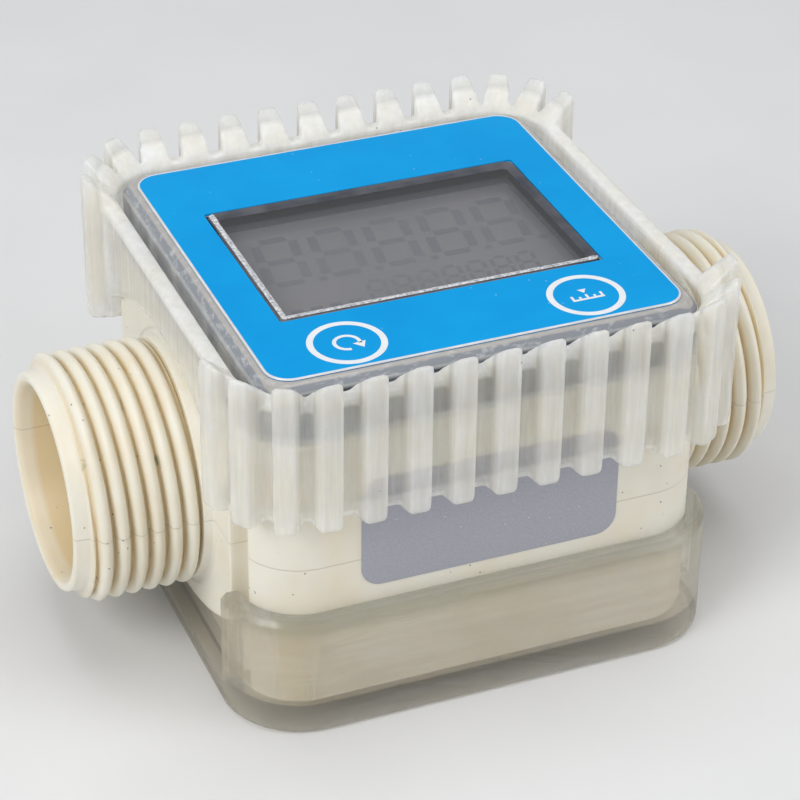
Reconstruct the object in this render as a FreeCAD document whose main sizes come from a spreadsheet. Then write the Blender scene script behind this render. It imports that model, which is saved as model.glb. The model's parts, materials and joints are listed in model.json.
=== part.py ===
import FreeCAD, Part
import os
import re

import Sketcher
from FreeCAD import Placement, Rotation, Vector

# Turbine flow meter with a square display module. X runs along the pipe, -Y is the side that faces
# the reader, Z is up and zero is the underside of the boot. All sizes are in millimetres.

SIZES = (
    # pipe and spigots
    ("axis_height", 23.8, "pipe axis above the underside of the boot"),
    ("overrun", 1.0, "how far a cutting solid runs past the face it opens"),
    ("overall_length", 100.0, "mouth to mouth"),
    ("spigot_radius", 16.62, "major radius of the G1 thread"),
    ("lip_radius", 14.6, "plain lip at each mouth"),
    ("lip_length", 1.6, "length of the plain lip"),
    ("spigot_chamfer", 1.0, "bevel where the thread starts"),
    ("bore_radius", 12.75, "bore outside the rotor chamber"),
    ("mouth_flare", 0.75, "bevel inside each mouth"),
    ("chamber_radius", 12.0, "bore round the rotor"),
    ("chamber_half", 10.0, "half length of the rotor chamber"),
    # body
    ("body_side", 62.4, "square plan of the body"),
    ("body_corner", 8.0, "vertical corner radius of the body"),
    ("body_rim", 18.8, "body rim above the pipe axis"),
    ("body_wall", 2.0, "wall round the pockets"),
    ("side_inset", 0.8, "body side below the boss, set in"),
    ("slot_width", 3.2, "upright slot beside each boss"),
    ("slot_depth", 2.0, "depth of that slot"),
    ("pocket_floor", 14.9, "floor of the top pocket above the pipe axis"),
    ("corner_column", 4.8, "solid column left in each pocket corner"),
    ("keel_half", 15.4, "half width of the hollow under the pipe"),
    ("keel_wall", 16.0, "pipe axis to the roof of that hollow"),
    # bosses on the two pipe ends of the body
    ("boss_reach", 32.0, "face of the boss from the middle"),
    ("boss_half", 22.2, "half width of the boss"),
    ("boss_crown", 18.65, "top of the boss above the pipe axis"),
    ("boss_bow", 39.0, "radius of the arch over the boss"),
    # bumper sleeve
    ("snug_gap", 0.05, "between the sleeve or the boot and the body"),
    ("guard_wall", 2.2, "wall of the sleeve"),
    ("guard_foot", 8.8, "lower edge of the sleeve above the pipe axis"),
    ("guard_head", 25.9, "upper edge of the sleeve above the pipe axis"),
    ("boss_gap", 0.3, "clear space between boss and sleeve or boot"),
    ("fins_per_side", 9, "straight fins on the front and on the back"),
    ("fin_pitch", 5.8, "fin to fin"),
    ("fin_root", 4.3, "width of a fin at the wall"),
    ("fin_tip", 2.6, "width of a fin at its outer edge"),
    ("fin_depth", 2.6, "how far a fin stands out of the wall"),
    ("fin_rise", 4.6, "how far a fin stands above the wall"),
    ("fin_round", 1.2, "rounded outer edge of the fins, top and bottom"),
    ("fins_per_corner", 3, "fins that fan round each corner"),
    ("fan_step", 27.0, "degrees from one corner fin to the next"),
    # boot
    ("boot_wall", 2.5, "wall of the boot"),
    ("boot_floor", 3.3, "floor of the boot"),
    ("boot_rim", 17.4, "rim of the boot above its underside"),
    ("boot_bevel", 0.8, "bevel round the rim of the boot"),
    ("boot_foot", 0.6, "bevel round the underside"),
    ("saddle_wall", 1.5, "wall of the boot under each boss"),
    ("saddle_half", 23.0, "half width of the low part of the boot"),
    # display case
    ("gasket_height", 0.8, "seal between body rim and case"),
    ("gasket_width", 1.2, "width of the seal"),
    ("case_side", 59.6, "square plan of the case"),
    ("case_corner", 4.0, "corner radius of the case"),
    ("case_height", 6.7, "height of the case"),
    ("case_roof", 1.6, "roof of the case"),
    ("case_wall", 1.8, "side wall of the case"),
    ("case_bevel", 1.2, "bevel round the roof"),
    ("flange_side", 62.0, "square plan of the case flange"),
    ("flange_height", 1.6, "thickness of the case flange"),
    # film
    ("film_side", 55.9, "square plan of the film"),
    ("film_corner", 3.2, "corner radius of the film"),
    ("film_thick", 0.3, "thickness of the film"),
    ("window_length", 44.4, "window in the film, along the pipe"),
    ("window_width", 29.7, "window in the film, across the pipe"),
    ("window_gap", 0.2, "gap round the raised pane"),
    ("pane_bevel", 0.2, "bevel round the raised pane"),
    # keys
    ("key_spread", 16.2, "each key from the middle, along the pipe"),
    ("key_reach", 22.3, "each key from the middle, towards the front"),
    ("key_radius", 4.25, "radius of a key"),
    ("key_gap", 0.05, "running gap round a key"),
    ("collar_radius", 5.0, "collar that keeps a key in"),
    ("collar_height", 0.6, "thickness of the collar"),
    ("key_travel", 0.4, "travel of a key"),
    # display and board
    ("bezel_height", 1.0, "dark frame over the display"),
    ("bezel_length", 46.4, "outside of the dark frame"),
    ("bezel_width", 32.4, "outside of the dark frame"),
    ("view_length", 42.2, "opening of the dark frame"),
    ("view_width", 27.6, "opening of the dark frame"),
    ("panel_height", 1.8, "display glass"),
    ("panel_length", 46.0, "display glass"),
    ("panel_width", 32.0, "display glass"),
    ("holder_height", 2.7, "frame under the display"),
    ("holder_rim", 4.5, "width of that frame"),
    ("strip_width", 1.8, "rubber connector strip"),
    ("strip_length", 38.0, "rubber connector strip"),
    ("board_thick", 1.6, "circuit board"),
    ("board_gap", 0.4, "gap round the board"),
    ("switch_side", 6.0, "square plan of a switch"),
    ("switch_height", 3.6, "height of a switch without its knob"),
    ("knob_radius", 1.7, "knob of a switch"),
    ("key_play", 0.15, "between a fully pressed key and its switch"),
    ("chip_side", 10.0, "controller chip"),
    ("chip_height", 1.4, "controller chip"),
    ("sensor_width", 4.0, "magnetic sensor"),
    ("sensor_height", 1.5, "magnetic sensor"),
    # batteries
    ("cell_radius", 5.25, "radius of a battery"),
    ("cell_length", 44.5, "length of a battery with its nub"),
    ("cell_lift", 9.8, "battery axis above the pipe axis"),
    ("nub_radius", 1.9, "nub of a battery"),
    ("nub_length", 1.0, "nub of a battery"),
    ("cell_gap", 0.15, "gap between battery and tray"),
    ("tray_wall", 0.8, "wall of the tray"),
    ("tray_gap", 0.2, "gap between tray and body"),
    ("strap_thick", 1.0, "strap that joins the two troughs"),
    ("strap_half", 8.0, "half length of the strap"),
    ("contact_thick", 0.3, "contact plate"),
    ("contact_side", 7.4, "contact plate"),
    ("contact_room", 1.15, "from the end of a battery to the tray"),
    # screws that hold the case, from below
    ("screw_spread", 26.4, "each screw from the middle, both ways"),
    ("screw_radius", 1.2, "shank of a screw"),
    ("screw_gap", 0.1, "gap round a shank"),
    ("screw_seat", 24.0, "seat of the screw head above the underside"),
    ("screw_bite", 3.2, "length of a screw inside the case"),
    ("head_radius", 2.0, "head of a screw"),
    ("head_height", 1.8, "head of a screw"),
    ("head_gap", 0.2, "gap round a head"),
    # plain label on the front
    ("plate_length", 35.3, "label on the front face"),
    ("plate_height", 16.0, "label on the front face"),
    ("plate_foot", 4.2, "lower edge of the label below the pipe axis"),
    ("plate_corner", 2.8, "corner radius of the label"),
    ("plate_thick", 0.2, "thickness of the label"),
    # flow guides, bushes and retaining rings
    ("guide_length", 8.0, "length of a guide"),
    ("guide_wall", 1.2, "wall of a guide"),
    ("guide_gap", 0.05, "gap between guide and bore"),
    ("guide_hub", 3.8, "hub of a guide"),
    ("guide_vanes", 5, "vanes of a guide"),
    ("vane_thick", 1.0, "thickness of a vane"),
    ("nose_length", 3.4, "nose of a guide"),
    ("nose_tip", 1.3, "tip radius of the nose"),
    ("bush_radius", 2.0, "outside of a bush"),
    ("bush_length", 3.0, "length of a bush"),
    ("ring_section", 1.0, "retaining ring, along the pipe"),
    ("ring_bite", 0.6, "retaining ring in its groove"),
    ("ring_stand", 0.85, "retaining ring above the bore wall"),
    ("ring_mouth", 5.0, "gap of the retaining ring"),
    # rotor
    ("shaft_radius", 1.0, "rotor shaft"),
    ("shaft_gap", 0.04, "running gap in a bush"),
    ("hub_radius", 4.6, "rotor hub"),
    ("hub_gap", 0.4, "between rotor hub and guide"),
    ("blade_count", 6, "blades of the rotor"),
    ("blade_gap", 0.4, "between blade tip and chamber"),
    ("blade_length", 14.0, "length of a blade along the shaft"),
    ("blade_thick", 1.1, "thickness of a blade"),
    ("blade_twist", 65.0, "degrees that a blade turns over its length"),
    ("magnet_radius", 1.25, "rotor magnet"),
    ("magnet_length", 3.0, "rotor magnet"),
    ("magnet_orbit", 2.9, "magnet from the rotor axis"),
)
BLADE_SECTIONS = 7

doc = FreeCAD.newDocument("TurbineFlowMeter")
sheet = doc.addObject("Spreadsheet::Sheet", "Dimensions")
for row, (alias, number, note) in enumerate(SIZES, start=1):
    sheet.set("A%d" % row, note)
    sheet.set("B%d" % row, str(number))
    sheet.setAlias("B%d" % row, alias)
doc.recompute()
ALIASES = {alias for alias, number, note in SIZES}
sub_parts = []


# ------------------------------------------------------------------ bound objects

def size(text):
    """An expression over the sheet, written with bare aliases."""
    return re.sub(r"[a-z_]+", lambda word: ("Dimensions." if word[0] in ALIASES else "") + word[0], text)


def count(alias):
    """A whole number from the sheet, for a loop."""
    return int(round(sheet.get(alias)))


def bind(thing, **expressions):
    """Bind properties to expressions over the sheet; a double underscore stands for a dot."""
    for name, text in expressions.items():
        thing.setExpression(name.replace("__", "."), size(text))
    return thing


def box(name, x, y, z):
    """A box between two expressions along each axis."""
    solid = doc.addObject("Part::Box", name)
    bind(solid, Placement__Base__x=x[0], Placement__Base__y=y[0], Placement__Base__z=z[0])
    bind(solid, Length="(%s) - (%s)" % (x[1], x[0]), Width="(%s) - (%s)" % (y[1], y[0]),
         Height="(%s) - (%s)" % (z[1], z[0]))
    return solid


def post(name, radius, x, y, z):
    """An upright cylinder at x, y, between two heights."""
    solid = doc.addObject("Part::Cylinder", name)
    bind(solid, Radius=radius, Height="(%s) - (%s)" % (z[1], z[0]))
    return bind(solid, Placement__Base__x=x, Placement__Base__y=y, Placement__Base__z=z[0])


def bar(name, radius, x, y="0", z="axis_height"):
    """A cylinder along X between two expressions."""
    solid = doc.addObject("Part::Cylinder", name)
    solid.Placement = Placement(Vector(), Rotation(Vector(0, 1, 0), 90))
    bind(solid, Radius=radius, Height="(%s) - (%s)" % (x[1], x[0]))
    return bind(solid, Placement__Base__x=x[0], Placement__Base__y=y, Placement__Base__z=z)


def taper(name, radii, x, y="0", z="axis_height"):
    """A cone along X, from radii[0] at x[0] to radii[1] at x[1]."""
    solid = doc.addObject("Part::Cone", name)
    solid.Placement = Placement(Vector(), Rotation(Vector(0, 1, 0), 90))
    bind(solid, Radius1=radii[0], Radius2=radii[1], Height="(%s) - (%s)" % (x[1], x[0]))
    return bind(solid, Placement__Base__x=x[0], Placement__Base__y=y, Placement__Base__z=z)


def fuse(name, *solids):
    joined = doc.addObject("Part::MultiFuse", name)
    joined.Shapes = list(solids)
    joined.Refine = True
    return joined


def common(name, *solids):
    shared = doc.addObject("Part::MultiCommon", name)
    shared.Shapes = list(solids)
    return shared


def cut(name, base, *tools):
    rest = doc.addObject("Part::Cut", name)
    rest.Base = base
    rest.Tool = tools[0] if len(tools) == 1 else fuse(name + "Tools", *tools)
    rest.Refine = True
    return rest


def group(name, *solids):
    """Separate solids that share one node."""
    held = doc.addObject("Part::Compound", name)
    held.Links = list(solids)
    return held


def sub_part(thing, label):
    thing.Label = label
    sub_parts.append(thing)
    return thing


def centred(length):
    """The span of a length about the middle."""
    return ("-(%s) / 2" % length, "(%s) / 2" % length)


def within(reach):
    """The span out to a reach on both sides of the middle."""
    return ("-(%s)" % reach, reach)


def mirrored(side, near, far):
    """The span from near to far on the +X side, or its mirror image on the -X side."""
    return (near, far) if side > 0 else ("-(%s)" % far, "-(%s)" % near)


def origin_plane(body, role):
    return next(plane for plane in body.Origin.OriginFeatures if plane.Role == role)


def attach(body, name, role):
    sketch = body.newObject("Sketcher::SketchObject", name)
    sketch.AttachmentSupport = [(origin_plane(body, role), "")]
    sketch.MapMode = "FlatFace"
    return sketch


def draw_loop(sketch, corners):
    """A closed loop of straight lines."""
    first = sketch.GeometryCount
    for index, corner in enumerate(corners):
        line = Part.LineSegment(Vector(*corner), Vector(*corners[(index + 1) % len(corners)]))
        sketch.addGeometry(line, False)
    for index in range(len(corners)):
        following = first + (index + 1) % len(corners)
        sketch.addConstraint(Sketcher.Constraint("Coincident", first + index, 2, following, 1))
    return first


def name_size(sketch, constraint, name, text):
    sketch.renameConstraint(sketch.addConstraint(constraint), name)
    sketch.setExpression("Constraints." + name, size(text))


def block(name, sides, corner, z, *rims):
    """A rounded block on the middle axis; each rim is (Fillet or Chamfer, head or foot, size)."""
    body = doc.addObject("PartDesign::Body", name)
    sketch = attach(body, name + "Plan", "XY_Plane")
    draw_loop(sketch, ((-9, -9), (9, -9), (9, 9), (-9, 9)))
    for line, direction in ((0, "Horizontal"), (2, "Horizontal"), (1, "Vertical"), (3, "Vertical")):
        sketch.addConstraint(Sketcher.Constraint(direction, line))
    sketch.addConstraint(Sketcher.Constraint("Symmetric", 0, 1, 1, 2, -1, 1))
    name_size(sketch, Sketcher.Constraint("DistanceX", 0, 1, 0, 2, 18), "length", sides[0])
    name_size(sketch, Sketcher.Constraint("DistanceY", 1, 1, 1, 2, 18), "width", sides[1])
    pad = body.newObject("PartDesign::Pad", name + "Pad")
    pad.Profile = sketch
    bind(pad, Length="(%s) - (%s)" % (z[1], z[0]))
    doc.recompute()
    dress(body, "PartDesign::Fillet", name + "Corners", upright_edges(pad), Radius=corner)
    for kind, end, text in rims:
        level = body.Tip.Shape.BoundBox.ZMax if end == "head" else body.Tip.Shape.BoundBox.ZMin
        key = "Radius" if kind == "Fillet" else "Size"
        dress(body, "PartDesign::" + kind, name + end, level_edges(body.Tip, level), **{key: text})
    return bind(body, Placement__Base__z=z[0])


def dress(body, kind, name, edges, **sizes):
    """A fillet or chamfer over the named edges of the body's tip."""
    base = body.Tip
    feature = body.newObject(kind, name)
    feature.Base = (base, edges)
    bind(feature, **sizes)
    doc.recompute()


def upright_edges(feature):
    """Names of the straight edges along Z."""
    return ["Edge%d" % (index + 1) for index, edge in enumerate(feature.Shape.Edges)
            if edge.BoundBox.XLength + edge.BoundBox.YLength < 1e-6]


def level_edges(feature, level):
    """Names of the edges that lie at one height."""
    return ["Edge%d" % (index + 1) for index, edge in enumerate(feature.Shape.Edges)
            if abs(edge.BoundBox.ZMin - level) < 1e-6 and abs(edge.BoundBox.ZMax - level) < 1e-6]


def lens(name, gap, reach):
    """The outline of the bosses: upright sides between an arch above and an arch below."""
    half = "boss_half + " + gap
    low = "axis_height - boss_crown - " + gap
    high = "axis_height + boss_crown + " + gap
    span = within(reach)
    slab = box(name + "Slab", span, within(half), (low, high))
    over = bar(name + "Over", "boss_bow + " + gap, span, z="axis_height + boss_crown - boss_bow")
    under = bar(name + "Under", "boss_bow + " + gap, span, z="axis_height - boss_crown + boss_bow")
    return common(name, slab, over, under)


def plus(name, wide, narrow, z):
    """A square with its four corners left out."""
    along = box(name + "Along", within(wide), within(narrow), z)
    across = box(name + "Across", within(narrow), within(wide), z)
    return fuse(name, along, across)


def corners_of(spread):
    """The four places at plus and minus a spread."""
    sides = ("(%s)" % spread, "-(%s)" % spread)
    return [(x, y) for x in sides for y in sides]


# ------------------------------------------------------------------ heights and widths used by several pieces

body_foot = "boot_floor"
body_top = "axis_height + body_rim"
pocket_half = "body_side / 2 - body_wall"
pocket_arm = pocket_half + " - corner_column"
pocket_base = "axis_height + pocket_floor"
case_foot = body_top + " + gasket_height"
flange_corner = "body_corner - (body_side - flange_side) / 2"
case_top = case_foot + " + case_height"
roof_foot = case_top + " - case_roof"
film_top = case_top + " + film_thick"
key_x = "key_spread"
key_y = "(-key_reach)"
key_foot = roof_foot + " - key_gap - collar_height"
panel_top = roof_foot + " - bezel_height"
panel_foot = panel_top + " - panel_height"
board_top = panel_foot + " - holder_height"
board_foot = board_top + " - board_thick"
cell_y = pocket_half + " - tray_gap - tray_wall - cell_gap - cell_radius"
well_inner = "(%s) - cell_radius - cell_gap - tray_wall - tray_gap" % cell_y
trough_half = "cell_length / 2 + contact_room + tray_wall"
cell_z = "axis_height + cell_lift"
trough_foot = "(%s) - cell_radius - cell_gap - tray_wall" % cell_z
well_base = "(%s) - tray_gap" % trough_foot
guide_near = "chamber_half"
guide_far = "chamber_half + guide_length"


# ------------------------------------------------------------------ body

def meter_body():
    """The cream moulding: block, bosses and spigots in one, hollowed for pipe, module and batteries."""
    shell = block("BodyBlock", ("body_side", "body_side"), "body_corner", (body_foot, body_top))
    slots = []
    for x_sign in (-1, 1):
        x = mirrored(x_sign, "body_side / 2 - slot_depth", "body_side / 2 + slot_depth")
        for y_sign in (-1, 1):
            y = mirrored(y_sign, "boss_half", "boss_half + slot_width")
            z = (body_foot + " - slot_depth", "axis_height + guard_foot + slot_depth")
            slots.append(box("Slot", x, y, z))
        x = mirrored(x_sign, "body_side / 2 - side_inset", "body_side / 2 + side_inset")
        z = (body_foot + " - side_inset", "axis_height")
        slots.append(box("Inset", x, ("-boss_half", "boss_half"), z))
    flanks = cut("BodyFlanks", shell, *slots)

    bosses = lens("Boss", "0", "boss_reach")
    lip_start = "overall_length / 2 - lip_length"
    spigot_end = lip_start + " - spigot_chamfer"
    pipe = [bar("Spigots", "spigot_radius", within(spigot_end)),
            bar("Lips", "lip_radius", ("-overall_length / 2", "overall_length / 2"))]
    for side in (-1, 1):
        wide, tight = "spigot_radius", "lip_radius"
        pipe.append(taper("SpigotBevel", (wide, tight) if side > 0 else (tight, wide),
                          mirrored(side, spigot_end, lip_start)))
    solid = fuse("BodySolid", flanks, bosses, *pipe)

    out = "overall_length / 2 + overrun"
    above = body_top + " + overrun"
    below = body_foot + " - overrun"
    hollows = [bar("Chamber", "chamber_radius", within(out))]
    for side in (-1, 1):
        hollows.append(bar("Bore", "bore_radius", mirrored(side, "chamber_half", out)))
        wide, tight = "bore_radius + mouth_flare", "bore_radius"
        flare = mirrored(side, "overall_length / 2 - mouth_flare", "overall_length / 2")
        hollows.append(taper("Flare", (tight, wide) if side > 0 else (wide, tight), flare))
        groove = mirrored(side, guide_far, guide_far + " + ring_section")
        hollows.append(bar("Groove", "bore_radius + ring_bite", groove))
        well = mirrored(side, well_inner, pocket_half)
        hollows.append(box("Well", within(pocket_arm), well, (well_base, above)))
        hollow = mirrored(side, "keel_half + body_wall", "body_side / 2 - body_wall")
        along = "screw_spread - head_radius - head_gap - body_wall / 2"
        hollows.append(box("SideHollow", within(along), hollow, (below, well_base + " - body_wall")))
    hollows.append(plus("Pocket", pocket_half, pocket_arm, (pocket_base, above)))
    keel = "body_side / 2 - slot_depth - body_wall"
    hollows.append(box("KeelHollow", within(keel), within("keel_half"), (below, "axis_height - keel_wall")))
    for x, y in corners_of("screw_spread"):
        hollows.append(post("ScrewHole", "screw_radius + screw_gap", x, y, (body_foot, above)))
        hollows.append(post("HeadHole", "head_radius + head_gap", x, y, (below, "screw_seat")))
    seat = box("LabelSeat", centred("plate_length + 2 * snug_gap"),
               ("-body_side / 2 - overrun", "-body_side / 2 + plate_thick + snug_gap"),
               ("axis_height - plate_foot - snug_gap", "axis_height - plate_foot + plate_height + snug_gap"))
    hollows.append(seat)
    return sub_part(cut("MeterBody", solid, *hollows), "meter_body")


# ------------------------------------------------------------------ bumper sleeve

def fin(name, x, y, turn):
    """One fin: it narrows outwards and its top slopes down to the inner edge of the wall."""
    wedge = doc.addObject("Part::Wedge", name)
    wedge.Placement = Placement(Vector(), Rotation(Vector(0, 0, 1), 0))
    reach = "guard_wall + fin_depth"
    bind(wedge, Xmin="-fin_root / 2", Xmax="fin_root / 2", X2min="-fin_tip / 2", X2max="fin_tip / 2")
    bind(wedge, Ymin="0", Ymax=reach, Zmin="0", Z2min="0")
    bind(wedge, Zmax="guard_head - guard_foot", Z2max="guard_head - guard_foot + fin_rise")
    bind(wedge, Placement__Base__x=x, Placement__Base__y=y, Placement__Base__z="axis_height + guard_foot")
    return bind(wedge, Placement__Rotation__Angle=turn)


def fin_guard():
    """The frosted sleeve: a rounded square wall with fins, arched over both bosses."""
    z = ("axis_height + guard_foot", "axis_height + guard_head")
    tall = (z[0], z[1] + " + fin_rise")
    inner_side = "body_side + 2 * snug_gap"
    outer_side = inner_side + " + 2 * guard_wall"
    finned_side = outer_side + " + 2 * fin_depth"
    inner_corner = "body_corner + snug_gap"
    wall = block("GuardWall", (outer_side, outer_side), inner_corner + " + guard_wall", z)
    fins = []
    edge = "body_side / 2 + snug_gap"
    for index in range(count("fins_per_side")):
        x = "(%d - (fins_per_side - 1) / 2) * fin_pitch" % index
        fins.append(fin("BackFin", x, edge, "0"))
        fins.append(fin("FrontFin", x, "-(%s)" % edge, "180"))
    centre = "body_side / 2 - body_corner"
    for x_sign in (-1, 1):
        for y_sign in (-1, 1):
            for step in range(1, count("fins_per_corner") + 1):
                turn = "%d * fan_step" % step
                out_x = "sin(%s * 1deg) * (%s)" % (turn, inner_corner)
                out_y = "cos(%s * 1deg) * (%s)" % (turn, inner_corner)
                x = "%d * (%s + %s)" % (x_sign, centre, out_x)
                y = "%d * (%s + %s)" % (y_sign, centre, out_y)
                heading = "%d * %s" % (-x_sign * y_sign, turn)
                fins.append(fin("CornerFin", x, y, heading if y_sign > 0 else "180 + " + heading))
    finned_corner = inner_corner + " + guard_wall + fin_depth"
    envelope = block("FinEnvelope", (finned_side, finned_side), finned_corner, tall,
                     ("Fillet", "head", "fin_round"), ("Fillet", "foot", "fin_round"))
    trimmed = common("TrimmedFins", fuse("Fins", *fins), envelope)
    through = (z[0] + " - overrun", tall[1] + " + overrun")
    opening = block("GuardOpening", (inner_side, inner_side), inner_corner, through)
    arches = lens("BossArch", "boss_gap", "overall_length / 2")
    return sub_part(cut("FinGuard", fuse("GuardSolid", wall, trimmed), opening, arches), "fin_guard")


# ------------------------------------------------------------------ boot

def base_boot():
    """The clear tray: full walls round the four corners, low saddles under the two bosses."""
    inner_side = "body_side + 2 * snug_gap"
    inner_corner = "body_corner + snug_gap"
    outer_side = inner_side + " + 2 * boot_wall"
    outer_corner = inner_corner + " + boot_wall"
    tray = block("BootTray", (outer_side, outer_side), outer_corner, ("0", "boot_rim"),
                 ("Chamfer", "head", "boot_bevel"), ("Chamfer", "foot", "boot_foot"))
    room = block("BootRoom", (inner_side, inner_side), inner_corner, ("boot_floor", "boot_rim + overrun"))
    gates = []
    for side in (-1, 1):
        x = mirrored(side, "body_side / 2 - side_inset", outer_side)
        gates.append(box("Gate", x, ("-saddle_half", "saddle_half"), ("boot_floor", "boot_rim + overrun")))
    walls = cut("BootWalls", tray, room, *gates)
    saddles = []
    for side in (-1, 1):
        near = "body_side / 2 - side_inset + snug_gap"
        x = mirrored(side, near, near + " + saddle_wall")
        saddles.append(box("Saddle", x, ("-boss_half", "boss_half"), ("boot_floor / 2", "axis_height")))
    solid = fuse("BootSolid", walls, *saddles)
    return sub_part(cut("BaseBoot", solid, lens("BossBed", "snug_gap", "overall_length / 2")), "base_boot")


# ------------------------------------------------------------------ display module

def display_case():
    """The clear case: a bevelled box open below, with a flange and a raised pane over the display."""
    upper = block("CaseUpper", ("case_side", "case_side"), "case_corner", (case_foot, case_top),
                  ("Chamfer", "head", "case_bevel"))
    flange = block("CaseFlange", ("flange_side", "flange_side"), flange_corner,
                   (case_foot, case_foot + " + flange_height"))
    pane = block("Pane", ("window_length - 2 * window_gap", "window_width - 2 * window_gap"), "window_gap",
                 (case_top + " - film_thick", film_top), ("Chamfer", "head", "pane_bevel"))
    solid = fuse("CaseSolid", upper, flange, pane)
    inner = "case_side / 2 - case_wall"
    arm = inner + " - corner_column"
    hollows = [plus("CaseRoom", inner, arm, (case_foot + " - overrun", roof_foot))]
    z = (roof_foot + " - overrun", film_top)
    for sign in ("", "-"):
        hollows.append(post("KeyHole", "key_radius + key_gap", sign + key_x, key_y, z))
    z = (case_foot + " - overrun", case_foot + " + screw_bite")
    for x, y in corners_of("screw_spread"):
        hollows.append(post("PilotHole", "screw_radius + screw_gap", x, y, z))
    return sub_part(cut("DisplayCase", solid, *hollows), "display_case")


def display_overlay():
    """The film: a thin square with a window and a round hole for each key."""
    film = block("Film", ("film_side", "film_side"), "film_corner", (case_top, film_top))
    window = block("FilmWindow", ("window_length", "window_width"), "2 * window_gap",
                   (case_top + " - overrun", film_top + " + overrun"))
    z = (case_top + " - overrun", film_top + " + overrun")
    holes = [post("FilmHole", "key_radius + key_gap", sign + key_x, key_y, z) for sign in ("", "-")]
    return sub_part(cut("DisplayOverlay", film, window, *holes), "display_overlay")


def case_gasket():
    z = (body_top, case_foot)
    outer = block("GasketOuter", ("flange_side", "flange_side"), flange_corner, z)
    inner = block("GasketInner", ("flange_side - 2 * gasket_width", "flange_side - 2 * gasket_width"),
                  flange_corner + " - gasket_width", (z[0] + " - overrun", z[1] + " + overrun"))
    return sub_part(cut("CaseGasket", outer, inner), "case_gasket")


def case_screws():
    """Four screws that come up through the body into the case."""
    screws = []
    for x, y in corners_of("screw_spread"):
        head = post("ScrewHead", "head_radius", x, y, ("screw_seat - head_height", "screw_seat"))
        shank = post("Shank", "screw_radius", x, y, ("screw_seat", case_foot + " + screw_bite - screw_gap"))
        screws.append(fuse("Screw", head, shank))
    return sub_part(group("CaseScrews", *screws), "case_screws")


def frame(name, sides, opening, z):
    """A flat rectangular frame."""
    outer = box(name + "Outer", centred(sides[0]), centred(sides[1]), z)
    through = (z[0] + " - overrun", z[1] + " + overrun")
    return cut(name, outer, box(name + "Inner", centred(opening[0]), centred(opening[1]), through))


def display_stack():
    """From the roof of the case down: dark frame, display glass, holder with two rubber strips."""
    sub_part(frame("LcdBezel", ("bezel_length", "bezel_width"), ("view_length", "view_width"),
                   (panel_top, roof_foot)), "lcd_bezel")
    panel = box("LcdPanel", centred("panel_length"), centred("panel_width"), (panel_foot, panel_top))
    sub_part(panel, "lcd_panel")
    z = (board_top, panel_foot)
    holder = frame("HolderFrame", ("panel_length", "panel_width"),
                   ("panel_length - 2 * holder_rim", "panel_width - 2 * holder_rim"), z)
    strips = []
    slots = []
    for side in (-1, 1):
        near = "panel_width / 2 - holder_rim / 2 - strip_width / 2"
        y = mirrored(side, near, near + " + strip_width")
        strips.append(box("Strip", centred("strip_length"), y, z))
        y = mirrored(side, near + " - snug_gap", near + " + strip_width + snug_gap")
        through = (z[0] + " - overrun", z[1] + " + overrun")
        slots.append(box("StripSlot", centred("strip_length + 2 * snug_gap"), y, through))
    sub_part(cut("LcdHolder", holder, *slots), "lcd_holder")
    sub_part(group("ElastomerStrips", *strips), "elastomer_strips")


def circuit_board():
    wide = pocket_half + " - 4 * board_gap"
    narrow = pocket_arm + " - board_gap"
    return sub_part(plus("CircuitBoard", wide, narrow, (board_foot, board_top)), "circuit_board")


def board_chips():
    """A square controller, a narrow memory chip and a crystal, inside the holder."""
    z = (board_top, board_top + " + chip_height")
    controller = box("Controller", centred("chip_side"), centred("chip_side"), z)
    memory = box("Memory", ("chip_side", "1.5 * chip_side"), centred("chip_side / 2"), z)
    crystal = box("Crystal", ("-1.4 * chip_side", "-chip_side"), centred("chip_side / 3"), z)
    return sub_part(group("BoardChips", controller, memory, crystal), "board_chips")


def pulse_sensors():
    """Two sensors under the board, one on each side of the middle."""
    sensors = []
    for side in (-1, 1):
        x = mirrored(side, "sensor_width / 2", "1.5 * sensor_width")
        z = (board_foot + " - sensor_height", board_foot)
        sensors.append(box("Sensor", x, centred("sensor_width"), z))
    return sub_part(group("PulseSensors", *sensors), "pulse_sensors")


def tact_switches():
    """A square switch with a round knob under each key."""
    switches = []
    half = "switch_side / 2"
    shoulder = board_top + " + switch_height"
    for sign in ("-", ""):
        x = sign + key_x
        base_x = (x + " - " + half, x + " + " + half)
        base_y = (key_y + " - " + half, key_y + " + " + half)
        base = box("SwitchBase", base_x, base_y, (board_top, shoulder))
        knob = post("SwitchKnob", "knob_radius", x, key_y, (shoulder, key_foot + " - key_travel - key_play"))
        switches.append(fuse("Switch", base, knob))
    return sub_part(group("TactSwitches", *switches), "tact_switches")


def key(name, label, sign):
    """A key: a disc flush with the film, held in by a collar under the roof of the case."""
    x = sign + key_x
    disc = post(name + "Disc", "key_radius", x, key_y, (key_foot, film_top))
    collar = post(name + "Collar", "collar_radius", x, key_y, (key_foot, key_foot + " + collar_height"))
    return sub_part(fuse(name, disc, collar), label)


# ------------------------------------------------------------------ batteries

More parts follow.
